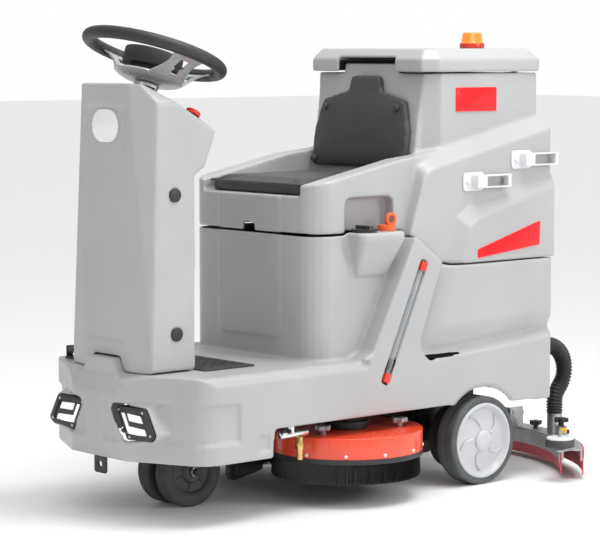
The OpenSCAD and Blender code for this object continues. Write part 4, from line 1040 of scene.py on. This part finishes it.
class SCRUBBER_OT_squeegee(PieceOperator):
    """Squeegee channel, blades, star knobs and rollers"""
    bl_idname = "scrubber.squeegee"
    bl_label = "Squeegee"
    # Degrees from the machine's middle, along the arc
    STRIP_HALF_ANGLE = 49.4
    CLAMP_ANGLE = 33.0
    LEVER_ANGLE = 3.0
    LOBES = 5

    def arc_frame(self, angle, radius):
        """A point on the squeegee arc, turned so that local Y points outwards."""
        centre_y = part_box("squeegee_blades")[1].y - ARC_OUTER
        turn = Matrix.Rotation(-math.radians(angle), 4, "Z")
        return Matrix.Translation((0, centre_y, 0)) @ turn @ Matrix.Translation((0, radius, 0))

    def boxes(self, place, corners):
        """Boxes between pairs of corners, in the place's own axes."""
        bm = bmesh.new()
        for low, high in corners:
            bmesh.ops.transform(bm, matrix=place, verts=block(bm, low, high))
        return bm

    def front_strip(self):
        low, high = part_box("squeegee_blades")
        bm = bmesh.new()
        bottom, top = low.z + 0.030, high.z + 0.0012
        inner = ARC_OUTER - ARC_DEPTH
        corners = [(inner - 0.0042, bottom), (inner - 0.0004, bottom), (inner - 0.0004, top),
                   (inner - 0.0042, top)]
        start = math.radians(90 - self.STRIP_HALF_ANGLE)
        arc_y = high.y - ARC_OUTER
        verts = [bm.verts.new((r * math.cos(start), r * math.sin(start) + arc_y, z)) for r, z in corners]
        face = bm.faces.new(verts)
        bmesh.ops.spin(bm, geom=[face] + verts + list(face.edges), cent=(0, arc_y, 0), axis=(0, 0, 1),
                       angle=math.radians(2 * self.STRIP_HALF_ANGLE), steps=72)
        bmesh.ops.remove_doubles(bm, verts=bm.verts, dist=SEAM_WELD)
        piece("squeegee_front_strip", bevelled(bm, 0.0008), "squeegee", (), ["aluminium"])

    def clamp(self):
        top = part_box("squeegee_blades")[1].z
        middle_r = ARC_OUTER - ARC_DEPTH * 0.72
        place = self.arc_frame(self.CLAMP_ANGLE, middle_r)
        bm = self.boxes(place, (
            ((-0.018, -0.013, top - 0.002), (-0.011, 0.013, top + 0.044)),
            ((0.011, -0.013, top - 0.002), (0.018, 0.013, top + 0.044)),
            ((-0.018, -0.013, top + 0.037), (0.018, 0.013, top + 0.044)),
        ))
        disc(bm, place @ Matrix.Translation((0, 0, top + 0.024)), 0.006, 0.050, 20)
        piece("squeegee_clamp", bevelled(bm, 0.002, 3), "squeegee", (), ["aluminium"])
        bm = bmesh.new()
        disc(bm, place @ Matrix.Translation((0, 0, top + 0.050)), 0.0085, 0.012, 24)
        disc(bm, place @ Matrix.Translation((0, 0, top + 0.061)), 0.014, 0.012, 32)
        for k in range(self.LOBES):
            a = math.tau * k / self.LOBES
            lobe = Matrix.Translation((0.0155 * math.cos(a), 0.0155 * math.sin(a), top + 0.061))
            disc(bm, place @ lobe, 0.0062, 0.012, 16)
        piece("squeegee_clamp_knob", bevelled(bm, 0.0012), "squeegee", (), ["black"])
        bm = self.boxes(place, [((0.019, -0.008, top + 0.026), (0.022, 0.012, top + 0.040))])
        piece("squeegee_tag", bevelled(bm, 0.0008), "squeegee", (), ["yellow"])
        bm = self.boxes(self.arc_frame(self.LEVER_ANGLE, middle_r), (
            ((-0.004, -0.010, top - 0.002), (0.004, 0.010, top + 0.050)),
            ((-0.004, -0.012, top + 0.038), (0.036, 0.012, top + 0.052)),
            ((-0.010, -0.014, top - 0.002), (0.010, 0.014, top + 0.012)),
        ))
        piece("squeegee_lever", bevelled(bm, 0.0018), "squeegee", (), ["amber_plastic"])

    def make(self, sizes):
        bm = cad_copy("squeegee_body")
        # The knobs on top of the casting are black
        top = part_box("squeegee_blades")[1].z + 0.0065
        for f in bm.faces:
            c = f.calc_center_median()
            if c.z > top and abs(c.x) > 0.09 and not (0.20 < c.x < 0.26) and abs(c.x) < 0.40:
                f.material_index = 1
        bevelled(bm, 0.001)
        piece("squeegee_casting", bm, "squeegee", ["squeegee_body"], ["aluminium", "black"],
              fix_normals=False)
        softened("squeegee_blades", "blade_red", "blade", 0.0008)
        self.front_strip()
        self.clamp()
        softened("squeegee_arm", "squeegee_alu", "aluminium", 0.0015)
        for word in ("left", "right"):
            node = word + "_roller"
            centre, low, high = middle(node)
            r, h = (high.x - low.x) / 2, (high.z - low.z)
            bm = bmesh.new()
            base = Vector((centre.x, centre.y, low.z))
            bore = 0.00605
            turned(bm, [(bore, 0.0), (r - 0.006, 0.0), (r - 0.001, 0.002), (r, 0.006), (r, 0.017),
                        (r - 0.002, 0.021), (r - 0.006, 0.023), (bore, 0.023), (bore, 0.0)], base,
                   (0, 0, 1), 64)
            cap = bmesh.new()
            turned(cap, [(bore, 0.0225), (r - 0.005, 0.0225), (r - 0.003, 0.025), (r - 0.005, 0.028),
                         (r - 0.014, h), (0.016, h), (bore, h), (bore, 0.0225)], base, (0, 0, 1), 64)
            for f in cap.faces:
                f.material_index = 1
            join(bm, cap)
            piece(node + "_wheel", bm, NODES[node]["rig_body"], [node], ["charcoal", "white"])


class SCRUBBER_OT_sides(PieceOperator):
    """Reflectors, clips, caps, sight tube, valve and beacon"""
    bl_idname = "scrubber.sides"
    bl_label = "Side details"
    LENS_RIBS = 9
    SOLIDS = (
        ("reflectors", "reflector_red", "reflector", 0.0008),
        ("side_clips", "clip_white", "clip", 0.002, 3),
        ("filler_cap", "black_plastic", "gloss_black", 0.002, 3),
        ("drain_cap", "cap_orange", "cap", 0.0022, 3),
        ("sight_tube", "clear_tube", "clear", 0.0005),
        ("sight_fittings", "red_plastic", "red", 0.0022, 3),
        ("water_pipe", "chrome_pipe", "chrome", 0.0008),
        ("water_valve", "valve_brass", "brass", 0.001),
        ("hinge_base", "frame_steel", "frame"),
        ("beacon_base", "red_plastic", "beacon_red", 0.002),
    )

    def make(self, sizes):
        softened_rows(self.SOLIDS)
        # Ribbed lens of the beacon
        centre, low, high = middle("beacon_lens")
        bm = bmesh.new()
        origin = Vector((centre.x, centre.y, low.z))
        outline = [(0.0001, 0.0), (0.033, 0.0)]
        for i in range(self.LENS_RIBS):
            z = 0.002 + i * 0.003
            outline += [(0.0325 - i * 0.0005, z), (0.0312 - i * 0.0005, z + 0.0015)]
        outline += [(0.0265, 0.0300), (0.0235, 0.0315), (0.0001, 0.032)]
        turned(bm, outline, origin, (0, 0, 1), 48)
        piece("beacon_lens_ribbed", bm, "lid", ["beacon_lens"], ["amber"])


class SCRUBBER_OT_chassis(PieceOperator):
    """Chassis, drive, batteries and steering linkage"""
    bl_idname = "scrubber.chassis"
    bl_label = "Chassis"
    SOLIDS = (
        ("chassis_rails", "frame_steel", "frame", 0.003),
        ("chassis_crossmembers", "frame_steel", "frame", 0.002),
        ("transaxle", "drive_steel", "drive", 0.004),
        ("batteries", "battery_case", "battery", 0.005),
        ("skid_block", "black_plastic", "black", 0.003),
        ("fork", "frame_steel", "frame", 0.002),
        ("lower_shaft", "shaft_steel", "steel", 0.001),
        ("steering_chain", "shaft_steel", "steel", 0.001),
    )

    def make(self, sizes):
        softened_rows(self.SOLIDS)


PIECES = (SCRUBBER_OT_stage, SCRUBBER_OT_hose, SCRUBBER_OT_mouldings, SCRUBBER_OT_seat, SCRUBBER_OT_wheels,
          SCRUBBER_OT_steering, SCRUBBER_OT_front, SCRUBBER_OT_mat, SCRUBBER_OT_deck, SCRUBBER_OT_squeegee,
          SCRUBBER_OT_sides, SCRUBBER_OT_chassis)


class SCRUBBER_PT_pieces(bpy.types.Panel):
    """Lists the sizes, the colours and the pieces"""
    bl_label = "Scrubber"
    bl_idname = "SCRUBBER_PT_pieces"
    bl_space_type = "VIEW_3D"
    bl_region_type = "UI"
    bl_category = "Scrubber"

    def draw(self, context):
        for group in (context.scene.scrubber_sizes, context.scene.scrubber_colours):
            for name in group.__annotations__:
                self.layout.prop(group, name)
        for maker in PIECES:
            self.layout.operator(maker.bl_idname)


CLASSES = (ScrubberSizes, ScrubberColours) + PIECES + (SCRUBBER_PT_pieces,)


def register():
    for c in CLASSES:
        bpy.utils.register_class(c)
    bpy.types.Scene.scrubber_sizes = bpy.props.PointerProperty(type=ScrubberSizes)
    bpy.types.Scene.scrubber_colours = bpy.props.PointerProperty(type=ScrubberColours)


def unregister():
    del bpy.types.Scene.scrubber_colours
    del bpy.types.Scene.scrubber_sizes
    for c in reversed(CLASSES):
        bpy.utils.unregister_class(c)


def main():
    register()
    make_finishes(bpy.context.scene.scrubber_colours)
    for maker in PIECES:
        group, name = maker.bl_idname.split(".")
        getattr(getattr(bpy.ops, group), name)()


if __name__ == "__main__":
    main()
